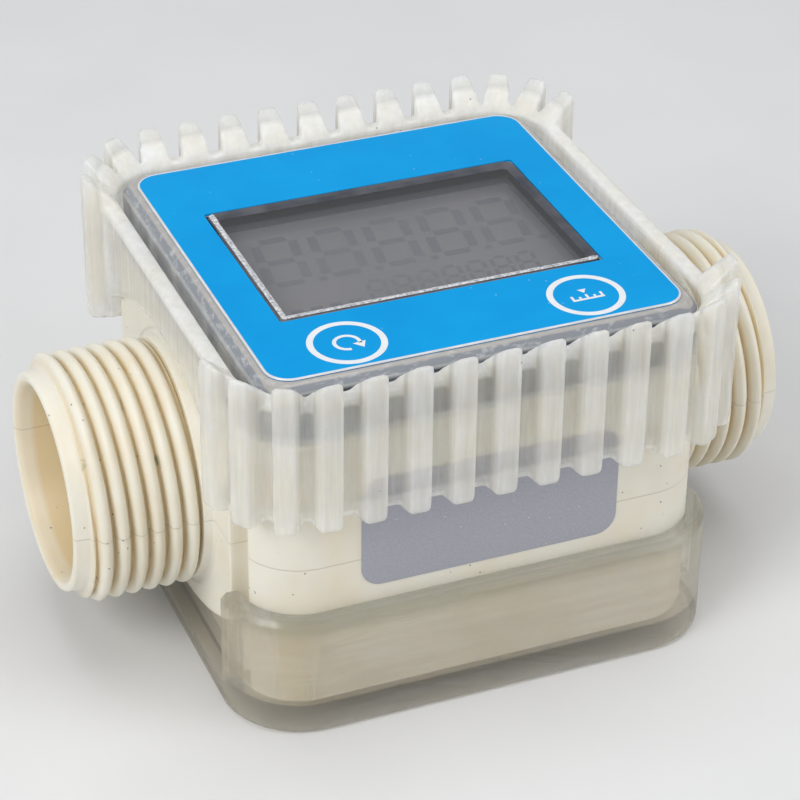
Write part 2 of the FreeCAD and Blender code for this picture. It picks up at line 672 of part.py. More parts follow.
def battery_tray():
    """Two troughs that hang beside the pipe, joined by a strap over it; the board rests on their walls."""
    solids = []
    rooms = []
    inner = "contact_room + cell_length / 2"
    for side in (-1, 1):
        near = "(%s) - cell_radius - cell_gap - tray_wall" % cell_y
        far = "(%s) + cell_radius + cell_gap + tray_wall" % cell_y
        solids.append(box("Trough", within(trough_half), mirrored(side, near, far),
                          (trough_foot, board_foot)))
        y = ("" if side > 0 else "-") + "(%s)" % cell_y
        rooms.append(bar("CellRoom", "cell_radius + cell_gap", within(inner), y, cell_z))
        clear = mirrored(side, near + " + tray_wall", far + " - tray_wall")
        rooms.append(box("CellEntry", within(inner), clear, (cell_z, board_foot + " + overrun")))
    strap_y = "(%s) - cell_radius - cell_gap - tray_wall / 2" % cell_y
    solids.append(box("Strap", within("strap_half"), within(strap_y),
                      (pocket_base, pocket_base + " + strap_thick")))
    return sub_part(cut("BatteryTray", fuse("TraySolid", *solids), *rooms), "battery_tray")


def battery(name, label, side):
    """An AAA cell; the front one and the rear one point opposite ways."""
    y = ("" if side > 0 else "-") + "(%s)" % cell_y
    end = "cell_length / 2"
    shoulder = end + " - nub_length"
    can = bar(name + "Can", "cell_radius", mirrored(side, "-" + end, shoulder), y, cell_z)
    nub = bar(name + "Nub", "nub_radius", mirrored(side, shoulder, end), y, cell_z)
    return sub_part(fuse(name, can, nub), label)


def battery_contacts():
    """At each end of each cell a plate on the tray, with a stud or a sprung cone that meets the cell."""
    contacts = []
    for side in (-1, 1):
        y = ("" if side > 0 else "-") + "(%s)" % cell_y
        plate_y = (y + " - contact_side / 2", y + " + contact_side / 2")
        plate_z = (cell_z + " - contact_side / 2", cell_z + " + contact_side / 2")
        for end in (-1, 1):
            face = "cell_length / 2 + contact_room"
            plate = box("ContactPlate", mirrored(end, face + " - contact_thick", face), plate_y, plate_z)
            stud = ("nub_radius", "contact_side / 3")
            spring = ("contact_side / 4", "contact_side / 2.2")
            radii = stud if side == end else spring
            span = mirrored(end, "cell_length / 2", face + " - contact_thick")
            cone = taper("ContactSpring", radii[::end], span, y, cell_z)
            contacts.append(fuse("Contact", plate, cone))
    return sub_part(group("BatteryContacts", *contacts), "battery_contacts")


# ------------------------------------------------------------------ label

def side_plate():
    """The plain label in its seat on the front face."""
    body = doc.addObject("PartDesign::Body", "SidePlate")
    sketch = attach(body, "PlateOutline", "XZ_Plane")
    draw_loop(sketch, ((-9, -9), (9, -9), (9, 9), (-9, 9)))
    for line, direction in ((0, "Horizontal"), (2, "Horizontal"), (1, "Vertical"), (3, "Vertical")):
        sketch.addConstraint(Sketcher.Constraint(direction, line))
    sketch.addConstraint(Sketcher.Constraint("Symmetric", 0, 1, 1, 2, -1, 1))
    name_size(sketch, Sketcher.Constraint("DistanceX", 0, 1, 0, 2, 18), "length", "plate_length")
    name_size(sketch, Sketcher.Constraint("DistanceY", 1, 1, 1, 2, 18), "height", "plate_height")
    pad = body.newObject("PartDesign::Pad", "PlatePad")
    pad.Profile = sketch
    bind(pad, Length="plate_thick")
    doc.recompute()
    upright = ["Edge%d" % (index + 1) for index, edge in enumerate(pad.Shape.Edges)
               if edge.BoundBox.XLength + edge.BoundBox.ZLength < 1e-6]
    dress(body, "PartDesign::Fillet", "PlateCorners", upright, Radius="plate_corner")
    bind(body, Placement__Base__y="-body_side / 2 + plate_thick",
         Placement__Base__z="axis_height - plate_foot + plate_height / 2")
    return sub_part(body, "side_plate")


# ------------------------------------------------------------------ flow path

def flow_guide(name, label, side):
    """A straightener: ring, radial vanes, and a hub with a nose that holds the rotor's bush."""
    span = mirrored(side, guide_near, guide_far)
    ring = bar(name + "Ring", "bore_radius - guide_gap", span)
    ring_room = bar(name + "RingRoom", "bore_radius - guide_gap - guide_wall",
                    mirrored(side, guide_near + " - overrun", guide_far + " + overrun"))
    vanes = []
    for index in range(count("guide_vanes")):
        vane = box(name + "Vane", span, ("-vane_thick / 2", "vane_thick / 2"), ("0", "1"))
        vane.Placement = Placement(Vector(), Rotation(Vector(1, 0, 0), 0))
        bind(vane, Height="bore_radius - guide_gap - guide_wall / 2", Placement__Base__x=span[0])
        turn = "(%d * 360 / guide_vanes)" % index
        bind(vane, Placement__Rotation__Angle=turn)
        bind(vane, Placement__Base__y="-cos(%s * 1deg) * vane_thick / 2" % turn,
             Placement__Base__z="axis_height - sin(%s * 1deg) * vane_thick / 2" % turn)
        vanes.append(vane)
    hub = bar(name + "Hub", "guide_hub", span)
    tip = mirrored(side, guide_far, guide_far + " + nose_length")
    nose = taper(name + "Nose", ("guide_hub", "nose_tip") if side > 0 else ("nose_tip", "guide_hub"), tip)
    bush_end = guide_near + " + bush_length"
    seat = bar(name + "Seat", "bush_radius", mirrored(side, guide_near + " - overrun", bush_end))
    end_room = bar(name + "EndRoom", "shaft_radius + 2 * shaft_gap",
                   mirrored(side, guide_near, bush_end + " + shaft_radius"))
    solid = fuse(name + "Solid", cut(name + "Shell", ring, ring_room), hub, nose, *vanes)
    return sub_part(cut(name, solid, seat, end_room), label)


def bush(name, label, side):
    span = mirrored(side, guide_near, guide_near + " + bush_length")
    hole = mirrored(side, guide_near + " - overrun", guide_near + " + bush_length + overrun")
    outer = bar(name + "Outer", "bush_radius", span)
    return sub_part(cut(name, outer, bar(name + "Hole", "shaft_radius + shaft_gap", hole)), label)


def retaining_ring(name, label, side):
    """An open ring in its groove, against the outer end of a guide."""
    span = mirrored(side, guide_far, guide_far + " + ring_section")
    hole = mirrored(side, guide_far + " - overrun", guide_far + " + ring_section + overrun")
    mouth = box(name + "Mouth", hole, centred("ring_mouth"), ("axis_height - 2 * bore_radius", "axis_height"))
    ring = cut(name, bar(name + "Outer", "bore_radius + ring_bite - guide_gap", span),
               bar(name + "Inner", "bore_radius - ring_stand", hole), mouth)
    return sub_part(ring, label)


def turbine_rotor():
    """The rotor: a hub and twisted blades, each lofted through turned sections."""
    hub_half = "chamber_half - hub_gap"
    body = doc.addObject("PartDesign::Body", "RotorSolid")
    outline = attach(body, "HubOutline", "YZ_Plane")
    outline.addGeometry(Part.Circle(Vector(), Vector(0, 0, 1), 5), False)
    outline.addConstraint(Sketcher.Constraint("Coincident", 0, 3, -1, 1))
    name_size(outline, Sketcher.Constraint("Radius", 0, 5), "radius", "hub_radius")
    hub = body.newObject("PartDesign::Pad", "RotorHub")
    hub.Profile = outline
    hub.Midplane = True
    bind(hub, Length="2 * (%s)" % hub_half)
    sections = []
    for index in range(BLADE_SECTIONS):
        share = index / (BLADE_SECTIONS - 1) - 0.5
        sketch = attach(body, "BladeSection", "YZ_Plane")
        draw_loop(sketch, ((3, -1), (9, -1), (9, 1), (3, 1)))
        for line, direction in ((0, "Horizontal"), (2, "Horizontal"), (3, "Vertical")):
            sketch.addConstraint(Sketcher.Constraint(direction, line))
        root = Sketcher.Constraint("DistanceX", -1, 1, 0, 1, 3)
        name_size(sketch, root, "root", "hub_radius - blade_thick")
        tip = Sketcher.Constraint("DistanceX", -1, 1, 0, 2, 9)
        name_size(sketch, tip, "tip", "chamber_radius - blade_gap")
        name_size(sketch, Sketcher.Constraint("DistanceY", 1, 1, 1, 2, 2), "thick", "blade_thick")
        sketch.addConstraint(Sketcher.Constraint("Symmetric", 1, 1, 1, 2, -1))
        sketch.AttachmentOffset = Placement(Vector(), Rotation(Vector(0, 0, 1), 0))
        bind(sketch, AttachmentOffset__Base__z="%s * blade_length" % share,
             AttachmentOffset__Rotation__Angle="%s * blade_twist" % share)
        sections.append(sketch)
    blade = body.newObject("PartDesign::AdditiveLoft", "Blade")
    blade.Profile = sections[0]
    blade.Sections = sections[1:]
    blade.Ruled = True
    doc.recompute()
    ring = body.newObject("PartDesign::PolarPattern", "BladeRing")
    ring.Originals = [blade]
    ring.Axis = (next(axis for axis in body.Origin.OriginFeatures if axis.Role == "X_Axis"), [""])
    bind(ring, Occurrences="blade_count")
    ring.Angle = 360
    body.Tip = ring
    bind(body, Placement__Base__z="axis_height")
    holes = [bar("ShaftHole", "shaft_radius", ("-chamber_half", "chamber_half"))]
    for y_sign in ("", "-"):
        holes.append(bar("MagnetHole", "magnet_radius", (hub_half + " - magnet_length", "chamber_half"),
                         y_sign + "magnet_orbit"))
    return sub_part(cut("TurbineRotor", body, *holes), "turbine_rotor")


def rotor_shaft():
    reach = "chamber_half + bush_length + shaft_radius / 2"
    return sub_part(bar("RotorShaft", "shaft_radius", within(reach)), "rotor_shaft")


def rotor_magnets():
    hub_half = "chamber_half - hub_gap"
    span = (hub_half + " - magnet_length", hub_half)
    magnets = [bar("Magnet", "magnet_radius", span, sign + "magnet_orbit") for sign in ("", "-")]
    return sub_part(group("RotorMagnets", *magnets), "rotor_magnets")


# ------------------------------------------------------------------ the whole meter

meter_body()
fin_guard()
base_boot()
display_case()
display_overlay()
case_gasket()
case_screws()
display_stack()
circuit_board()
board_chips()
pulse_sensors()
tact_switches()
key("ResetButton", "reset_button", "-")
key("CalibrateButton", "calibrate_button", "")
battery_tray()
battery("BatteryFront", "battery_front", -1)
battery("BatteryRear", "battery_rear", 1)
battery_contacts()
side_plate()
flow_guide("InletGuide", "inlet_guide", -1)
flow_guide("OutletGuide", "outlet_guide", 1)
bush("InletBush", "inlet_bush", -1)
bush("OutletBush", "outlet_bush", 1)
retaining_ring("InletRing", "inlet_ring", -1)
retaining_ring("OutletRing", "outlet_ring", 1)
turbine_rotor()
rotor_shaft()
rotor_magnets()
doc.recompute()

for thing in doc.Objects:
    if {"Invalid", "Error"} & set(thing.State):
        raise RuntimeError("%s (%s) is %s" % (thing.Name, thing.Label, thing.State))
for thing in sub_parts:
    if thing.Shape.isNull() or not thing.Shape.isValid() or not thing.Shape.Solids:
        raise RuntimeError("%s has no valid solid" % thing.Label)

os.makedirs("parts", exist_ok=True)
for thing in sub_parts:
    thing.Shape.exportStep(os.path.join("parts", thing.Label + ".step"))
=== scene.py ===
import json
import math

import bmesh
import bpy
from mathutils import Matrix, Vector


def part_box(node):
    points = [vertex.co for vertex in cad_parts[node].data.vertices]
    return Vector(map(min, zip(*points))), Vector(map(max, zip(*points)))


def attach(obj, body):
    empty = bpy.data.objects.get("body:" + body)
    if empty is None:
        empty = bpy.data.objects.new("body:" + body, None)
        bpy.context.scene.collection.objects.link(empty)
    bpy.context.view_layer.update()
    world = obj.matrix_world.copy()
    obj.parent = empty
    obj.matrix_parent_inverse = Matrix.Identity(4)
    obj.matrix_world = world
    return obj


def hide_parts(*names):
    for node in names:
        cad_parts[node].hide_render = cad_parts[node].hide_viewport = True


# Turbine flow meter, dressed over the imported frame. Lengths are in metres: X runs along the pipe,
# -Y is the side that faces the reader and Z is up from the underside of the boot.

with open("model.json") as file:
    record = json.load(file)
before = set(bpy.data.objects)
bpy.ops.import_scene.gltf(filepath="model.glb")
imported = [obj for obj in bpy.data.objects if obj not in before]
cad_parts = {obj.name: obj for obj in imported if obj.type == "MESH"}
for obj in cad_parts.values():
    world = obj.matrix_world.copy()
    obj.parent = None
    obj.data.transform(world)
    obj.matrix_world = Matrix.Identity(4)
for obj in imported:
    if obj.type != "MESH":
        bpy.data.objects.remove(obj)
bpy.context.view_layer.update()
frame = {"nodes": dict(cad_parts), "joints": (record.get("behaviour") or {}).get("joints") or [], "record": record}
scene = bpy.context.scene
MM = 0.001

# The frame gives the places and outer sizes; the numbers here are forms within them.

# Pipe, bosses and threads
JOINTS = {joint["name"]: joint for joint in frame["joints"]}
PIPE_AXIS = JOINTS["rotor_spin"]["pos_m"][2]
MOUNTS = {mount["name"]: mount for mount in frame["record"]["mounts"]}
THREAD_RADIUS = MOUNTS["inlet_thread"]["dims"]["r_mm"] * MM
THREAD_LENGTH = MOUNTS["inlet_thread"]["dims"]["length_mm"] * MM
THREAD_PITCH = 2.309 * MM
THREAD_DEPTH = 1.48 * MM
PIPE_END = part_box("meter_body")[1][0]
BOSS_FACE = 32.0 * MM
THREAD_START = BOSS_FACE + 1.4 * MM
THREAD_END = BOSS_FACE + THREAD_LENGTH + 0.5 * MM
LIP_RADIUS = 14.6 * MM
MOUTH_RADIUS = 13.5 * MM
BORE_RADIUS = 12.75 * MM
PARTING = 0.2 * MM  # the mould's parting line, over the pipe axis

# Boot, film and display case
BOOT_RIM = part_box("base_boot")[1][2]
FILM_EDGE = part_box("display_overlay")[1][0]
FILM_CORNER = 3.2 * MM
CASE_FRONT = 28.2 * MM
CASE_CORNER = 4.0 * MM
CASE_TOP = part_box("display_overlay")[0][2]
PANE_HALF = Vector((22.0, 14.65)) * MM

# Sleeve; the boss arch under it is a circle's arc
SLEEVE_WALL = 2.2 * MM
FIN_DEPTH = 2.6 * MM
SLEEVE_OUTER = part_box("fin_guard")[1][0] - FIN_DEPTH
SLEEVE_INNER = SLEEVE_OUTER - SLEEVE_WALL
SLEEVE_CORNER = 8.05 * MM
SLEEVE_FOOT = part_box("fin_guard")[0][2]
SLEEVE_TOP = 49.7 * MM
FIN_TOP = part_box("fin_guard")[1][2]
BOSS_HALF = 22.5 * MM
BOSS_CROWN = 18.65 * MM
BOSS_BOW = 39.0 * MM
BOSS_GAP = 0.3 * MM


# ------------------------------------------------------------------ places from the frame

def middle(node):
    """The middle of a node's box."""
    low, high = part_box(node)
    return (Vector(low) + Vector(high)) / 2


def top(node):
    """The height of a node's upper side."""
    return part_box(node)[1][2]


# ------------------------------------------------------------------ camera

# Fitted to the photograph's view of the whole meter. The offset is across and up from the point
# over the origin on the pipe axis.
VIEW_AZIMUTH = math.radians(-22.43)
VIEW_ELEVATION = math.radians(32.42)
VIEW_ROLL = math.radians(0.76)
VIEW_DISTANCE = 388.3 * MM
VIEW_OFFSET = (0.148 * MM, 1.119 * MM)
VIEW_LENS = 128.74
SENSOR_WIDTH = 36


def place_camera():
    """The photograph's camera."""
    back = Vector((math.sin(VIEW_AZIMUTH) * math.cos(VIEW_ELEVATION),
                   -math.cos(VIEW_AZIMUTH) * math.cos(VIEW_ELEVATION), math.sin(VIEW_ELEVATION)))
    level = Vector((math.cos(VIEW_AZIMUTH), math.sin(VIEW_AZIMUTH), 0))
    upward = back.cross(level)
    right = math.cos(VIEW_ROLL) * level + math.sin(VIEW_ROLL) * upward
    up = back.cross(right)
    aim = Vector((0, 0, PIPE_AXIS)) + VIEW_OFFSET[0] * right + VIEW_OFFSET[1] * up
    data = bpy.data.cameras.new("Camera")
    data.lens = VIEW_LENS
    data.sensor_width = SENSOR_WIDTH
    data.clip_start = 10 * MM
    camera = bpy.data.objects.new("Camera", data)
    scene.collection.objects.link(camera)
    camera.matrix_world = Matrix((right, up, back)).transposed().to_4x4()
    camera.matrix_world.translation = aim + VIEW_DISTANCE * back
    scene.camera = camera


# ------------------------------------------------------------------ material helpers

# Sockets that a Mix node uses for colours
MIX_FACTOR, MIX_FIRST, MIX_SECOND, MIX_RESULT = 0, 6, 7, 2


class Paint:
    """A material with one Principled shader, and short calls for the nodes that feed it."""

    def __init__(self, name, color, roughness, **sockets):
        self.material = bpy.data.materials.new(name)
        self.material.use_nodes = True
        self.tree = self.material.node_tree
        self.shader = self.tree.nodes["Principled BSDF"]
        self.set("Base Color", (*color, 1))
        self.set("Roughness", roughness)
        for socket, value in sockets.items():
            self.set(socket.replace("_", " "), value)
        self.where = self.tree.nodes.new("ShaderNodeTexCoord").outputs["Object"]

    def set(self, socket, value):
        """Sets a socket of the shader to one value."""
        self.shader.inputs[socket].default_value = value

    def link(self, source, target):
        """Links an output to an input."""
        self.tree.links.new(source, target)

    def node(self, kind, links=(), **values):
        """A node whose named properties and sockets are set, then linked."""
        node = self.tree.nodes.new(kind)
        for name, value in values.items():
            setattr(node, name, value)
        for socket, source in dict(links).items():
            if hasattr(source, "is_output"):
                self.link(source, node.inputs[socket])
            else:
                node.inputs[socket].default_value = source
        return node

    def noise(self, size, detail=3, where=None):
        """Noise whose lumps are about size across."""
        links = {"Vector": where or self.where, "Scale": 1 / size, "Detail": detail,
                 "Roughness": 0.6}
        return self.node("ShaderNodeTexNoise", links).outputs["Fac"]

    def grains(self, size):
        """Distance to the nearest of many scattered points about size apart."""
        links = {"Vector": self.where, "Scale": 1 / size}
        return self.node("ShaderNodeTexVoronoi", links).outputs["Distance"]

    def stretch(self, scale):
        """The object's coordinates, scaled along each axis."""
        links = {"Vector": self.where, "Scale": scale}
        return self.node("ShaderNodeMapping", links).outputs["Vector"]

    def fit(self, value, low, high, start=0.0, end=1.0):
        """value from low to high, made to run from start to end and held there."""
        links = {"Value": value, "From Min": low, "From Max": high, "To Min": start, "To Max": end}
        return self.node("ShaderNodeMapRange", links).outputs["Result"]

    def calc(self, operation, first, second=0.0):
        """One step of arithmetic on values or sockets."""
        return self.node("ShaderNodeMath", {0: first, 1: second}, operation=operation).outputs[0]

    def axis(self, name):
        """The object's coordinate along one axis."""
        return self.node("ShaderNodeSeparateXYZ", {"Vector": self.where}).outputs[name]

    def side(self, name):
        """Distance from the middle along one axis."""
        return self.calc("ABSOLUTE", self.axis(name))

    def square_reach(self, straight):
        """Distance from the middle to a rounded square whose corner centres are at straight."""
        over = [self.calc("MAXIMUM", self.calc("SUBTRACT", self.side(name), straight), 0.0)
                for name in "XY"]
        squares = [self.calc("POWER", value, 2.0) for value in over]
        return self.calc("ADD", self.calc("SQRT", self.calc("ADD", *squares)), straight)

    def specks(self, apart, small, large, strength, cloud):
        """Scattered dots: 0 to strength, only in some patches."""
        dots = self.fit(self.grains(apart), small, large, strength, 0)
        return self.calc("MULTIPLY", dots, self.fit(self.noise(cloud, 1), 0.46, 0.54))

    def blend(self, factor, first, second):
        """A colour between two colours or sockets."""
        mix = self.node("ShaderNodeMix", data_type="RGBA")
        for index, source in ((MIX_FACTOR, factor), (MIX_FIRST, first), (MIX_SECOND, second)):
            if hasattr(source, "is_output"):
                self.link(source, mix.inputs[index])
            else:
                mix.inputs[index].default_value = source if index == MIX_FACTOR else (*source, 1)
        return mix.outputs[MIX_RESULT]

    def cloudy(self, size, detail, low, high, first, second):
        """Two colours in soft patches about size across."""
        return self.blend(self.fit(self.noise(size, detail), low, high), first, second)

    def color(self, source):
        """Feeds the shader's base colour."""
        self.link(source, self.shader.inputs["Base Color"])

    def rough(self, source):
        """Feeds the shader's roughness."""
        self.link(source, self.shader.inputs["Roughness"])

    def alpha(self, source):
        """Feeds how solid the surface is."""
        self.link(source, self.shader.inputs["Alpha"])

    def bump(self, height, distance):
        """Bumps of a height in metres, on top of any earlier ones."""
        earlier = self.shader.inputs["Normal"].links
        links = {"Height": height, "Distance": distance, "Strength": 1.0}
        if earlier:
            links["Normal"] = earlier[0].from_socket
        bumps = self.node("ShaderNodeBump", links)
        self.link(bumps.outputs["Normal"], self.shader.inputs["Normal"])


def tone(red, green, blue):
    """A colour read off as 0 to 255, in the linear values that shaders take."""
    return tuple((value / 255 / 12.92) if value <= 10 else ((value / 255 + 0.055) / 1.055) ** 2.4
                 for value in (red, green, blue))


# ------------------------------------------------------------------ materials

CREAM = tone(236, 232, 218)
# Yellowed cream: aged patches, and also the painted shade in the thread roots and the bore.
CREAM_AGED_AND_SHADE = tone(220, 196, 146)
CREAM_SPECK = tone(70, 58, 40)
# Dark greenish painted shade for patches in the thread roots.
ROOT_SHADE_GREEN = tone(140, 142, 112)


def cream_plastic():
    """Satin cream moulding: patches of aged tone, painted shade in the thread roots with darker greenish patches,
    painted shade and warm bounce light in the bore, specks and a parting line.
    """
    paint = Paint("cream_body", CREAM, 0.42, Subsurface_Weight=0.3, Subsurface_Scale=1.5 * MM)
    paint.set("Subsurface Radius", (1.0, 0.8, 0.55))
    cloud = paint.noise(9 * MM, 2)
    colour = paint.blend(paint.fit(cloud, 0.4, 0.75, 0, 0.3), CREAM, CREAM_AGED_AND_SHADE)
    height = paint.calc("SUBTRACT", paint.axis("Z"), PIPE_AXIS)
    radius = paint.calc("SQRT", paint.calc("ADD", paint.calc("POWER", paint.axis("Y"), 2),
                                           paint.calc("POWER", height, 2)))
    along = paint.side("X")
    threaded = paint.calc("MULTIPLY", paint.fit(along, BOSS_FACE, BOSS_FACE + 0.6 * MM),
                          paint.fit(along, THREAD_END + 0.2 * MM, THREAD_END - 0.6 * MM))
    # Painted shade: the thread roots are painted darker and yellower.
    deep = paint.fit(radius, THREAD_RADIUS - 0.5 * MM, THREAD_RADIUS - THREAD_DEPTH)
    root = paint.calc("MULTIPLY", deep, threaded)
    colour = paint.blend(paint.calc("MULTIPLY", root, 0.75), colour, CREAM_AGED_AND_SHADE)
    # Painted shade and warm bounce light inside the bore.
    bore = paint.fit(radius, MOUTH_RADIUS + 0.1 * MM, MOUTH_RADIUS - 0.2 * MM, 0, 0.35)
    colour = paint.blend(bore, colour, CREAM_AGED_AND_SHADE)
    # Painted shade: darker greenish patches in the thread roots.
    root_shade_patches = paint.fit(paint.noise(3.5 * MM, 4), 0.62, 0.7, 0, 0.7)
    colour = paint.blend(paint.calc("MULTIPLY", root_shade_patches, root), colour, ROOT_SHADE_GREEN)
    off_seam = paint.calc("ABSOLUTE", paint.calc("SUBTRACT", height, PARTING))
    colour = paint.blend(paint.fit(off_seam, 0.03 * MM, 0.11 * MM, 0.2, 0), colour, CREAM_SPECK)
    specks = paint.specks(1.9 * MM, 0.05, 0.085, 0.75, 10 * MM)
    paint.color(paint.blend(specks, colour, CREAM_SPECK))
    paint.rough(paint.fit(paint.noise(1.5 * MM, 4), 0.3, 0.7, 0.38, 0.52))
    paint.bump(paint.noise(0.5 * MM, 3), 0.01 * MM)
    paint.bump(paint.noise(4 * MM, 2), 0.02 * MM)
    paint.bump(paint.fit(height, PARTING - 0.05 * MM, PARTING + 0.05 * MM), 0.05 * MM)
    return paint.material


def frosted_plastic():
    """The sleeve: milky soft plastic, clearest in the wall, more solid at edges and fin tips."""
    paint = Paint("frosted_guard", tone(246, 245, 240), 0.4, IOR=1.4, Subsurface_Weight=1.0,
                  Subsurface_Scale=2 * MM, Transmission_Weight=0.15)
    paint.set("Subsurface Radius", (1.0, 0.92, 0.8))
    reach = paint.square_reach(SLEEVE_INNER - SLEEVE_CORNER)
    streaks = paint.noise(1.2 * MM, 3, where=paint.stretch((1, 1, 0.08)))
    grain = paint.fit(streaks, 0.35, 0.7, -0.05, 0.07)
    body = paint.fit(reach, SLEEVE_OUTER + 0.2 * MM, SLEEVE_OUTER + 1.6 * MM, 0.32, 0.56)
    on_wall = paint.fit(reach, SLEEVE_OUTER + 0.1 * MM, SLEEVE_OUTER + 0.7 * MM, 0.4, 0)
    height = paint.axis("Z")
    near_top = paint.fit(height, SLEEVE_TOP - 1.2 * MM, SLEEVE_TOP - 0.6 * MM)
    brim = paint.calc("MULTIPLY", near_top, on_wall)
    near_foot = paint.fit(height, SLEEVE_FOOT + 1.0 * MM, SLEEVE_FOOT + 0.4 * MM)
    hem = paint.calc("MULTIPLY", near_foot, on_wall)
    knob = paint.fit(height, SLEEVE_TOP - 4 * MM, SLEEVE_TOP + 2 * MM, 0, 0.16)
    edges = paint.calc("ADD", paint.calc("ADD", brim, hem), knob)
    solid = paint.calc("ADD", paint.calc("ADD", body, grain), edges)
    paint.alpha(paint.calc("MINIMUM", solid, 0.95))
    colour = paint.cloudy(7 * MM, 2, 0.35, 0.7, tone(247, 246, 241), tone(240, 237, 228))
    specks = paint.specks(3.2 * MM, 0.035, 0.055, 0.8, 14 * MM)
    paint.color(paint.blend(specks, colour, CREAM_SPECK))
    paint.rough(paint.fit(paint.noise(4 * MM, 2), 0.3, 0.7, 0.28, 0.36))
    paint.bump(paint.noise(1.2 * MM, 2, where=paint.stretch((1, 1, 0.25))), 0.006 * MM)
    return paint.material


def clear_boot_plastic():
    """The boot: clear but satin, cloudier at its rim, with a painted darker, greener band of shade there, a
    painted highlight along the sole, and fine level flow lines.
    """
    paint = Paint("clear_boot", tone(226, 217, 198), 0.2, Transmission_Weight=0.8, IOR=1.42)
    height = paint.axis("Z")
    lines = paint.noise(1.6 * MM, 3, where=paint.stretch((0.06, 0.06, 1)))
    colour = paint.blend(paint.fit(lines, 0.4, 0.65), tone(222, 212, 190), tone(240, 236, 222))
    # Painted shade: a darker, greener band under the rim.
    rim = paint.fit(height, BOOT_RIM - 3.2 * MM, BOOT_RIM - 1.2 * MM)
    colour = paint.blend(rim, colour, tone(196, 194, 178))
    # Painted highlight: a pale line along the sole.
    lit_sole = paint.fit(height, 0.9 * MM, 0.5 * MM)
    paint.color(paint.blend(lit_sole, colour, tone(244, 238, 222)))
    rim_solid = paint.fit(rim, 0, 1, 0.5, 0.74)
    paint.alpha(paint.calc("ADD", rim_solid, paint.calc("MULTIPLY", lit_sole, 0.3)))
    paint.rough(paint.fit(paint.noise(5 * MM, 3), 0.3, 0.75, 0.14, 0.26))
    paint.bump(lines, 0.02 * MM)
    return paint.material


def clear_case_plastic():
    """Clear polished plastic: painted pale reflection bands and painted glint streaks round the film, a clear
    window, and sides with painted shade, darkest on the front.
    """
    paint = Paint("clear_case", tone(206, 208, 210), 0.1, Transmission_Weight=0.3, IOR=1.49)
    edge = paint.square_reach(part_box("display_case")[1][0] - CASE_CORNER)
    glint_streaks = paint.noise(0.5 * MM, 3, where=paint.stretch((0.35, 0.35, 1)))
    # Painted reflections round the film: a pale band at its edge, then grey, then a pale band again.
    first_band = paint.fit(edge, FILM_EDGE + 0.75 * MM, FILM_EDGE + 0.9 * MM)
    colour = paint.blend(first_band, tone(208, 204, 199), tone(166, 171, 178))
    second_band = paint.fit(edge, FILM_EDGE + 1.45 * MM, FILM_EDGE + 1.65 * MM)
    colour = paint.blend(second_band, colour, tone(210, 211, 208))
    # Painted glints: pale streaks.
    colour = paint.blend(paint.fit(glint_streaks, 0.5, 0.7, 0, 0.6), colour, tone(236, 237, 238))
    # Painted shade on the sides below the top: darkest on the front, paler on the other sides, in soft patches.
    patches = paint.fit(paint.noise(6 * MM, 2), 0.42, 0.6)
    shaded = paint.blend(patches, tone(66, 72, 82), tone(140, 146, 154))
    pale = paint.blend(patches, tone(150, 154, 160), tone(188, 190, 192))
    front = paint.fit(paint.axis("Y"), -CASE_FRONT - 0.6 * MM, -CASE_FRONT - 1.0 * MM)
    dim = paint.blend(front, pale, shaded)
    below_top = paint.fit(paint.axis("Z"), CASE_TOP - 0.9 * MM, CASE_TOP - 1.25 * MM)
    colour = paint.blend(below_top, colour, dim)
    window = paint.calc("MULTIPLY", paint.fit(paint.side("X"), PANE_HALF.x + 0.1 * MM, PANE_HALF.x),
                        paint.fit(paint.side("Y"), PANE_HALF.y + 0.1 * MM, PANE_HALF.y))
    paint.color(paint.blend(window, colour, tone(200, 203, 207)))
    paint.alpha(paint.fit(window, 0, 1, 1, 0.15))
    paint.rough(paint.fit(paint.noise(4 * MM, 3), 0.35, 0.75, 0.06, 0.16))
    return paint.material


def pane_edge():
    """Edge of the raised pane: a painted bright highlight bead on its near sides, painted dark shade of the pane's
    depth elsewhere.
    """
    paint = Paint("pane_edge", tone(90, 92, 98), 0.12)
    near = paint.calc("MINIMUM", paint.calc("ADD", paint.axis("X"), PANE_HALF.x),
                      paint.calc("ADD", paint.axis("Y"), PANE_HALF.y))
    shine = paint.calc("MULTIPLY", paint.fit(near, 0.2 * MM, 0.3 * MM),
                       paint.fit(near, 1.1 * MM, 0.95 * MM))
    # Painted highlight on the near sides, painted shade in the depth on the far sides.
    highlight_bead = paint.cloudy(0.45 * MM, 3, 0.35, 0.65, tone(150, 151, 156), tone(232, 233, 236))
    depth = paint.cloudy(5 * MM, 2, 0.35, 0.7, tone(62, 65, 74), tone(92, 93, 99))
    paint.color(paint.blend(shine, depth, highlight_bead))
    return paint.material


def blue_film():
    """Printed film: even blue with a fine pebbled surface and a few pale dust specks."""
    paint = Paint("blue_film", tone(0, 154, 222), 0.4, Specular_IOR_Level=0.1)
    colour = paint.cloudy(12 * MM, 2, 0.3, 0.7, tone(0, 150, 219), tone(4, 158, 225))
    dust = paint.specks(2.1 * MM, 0.04, 0.07, 0.6, 8 * MM)
    paint.color(paint.blend(dust, colour, tone(160, 212, 244)))
    paint.bump(paint.noise(0.35 * MM, 2), 0.004 * MM)
    return paint.material


def white_ink():
    """White print, a little uneven."""
    paint = Paint("white_ink", tone(238, 240, 240), 0.4)
    paint.color(paint.cloudy(2 * MM, 2, 0.3, 0.7, tone(240, 241, 241), tone(228, 233, 238)))
    return paint.material


def display_grey():
    """The switched-off display: warm grey with a slow sheen."""
    paint = Paint("lcd_grey", tone(104, 103, 106), 0.3)
    paint.color(paint.cloudy(16 * MM, 1, 0.3, 0.7, tone(98, 99, 104), tone(112, 108, 110)))
    return paint.material


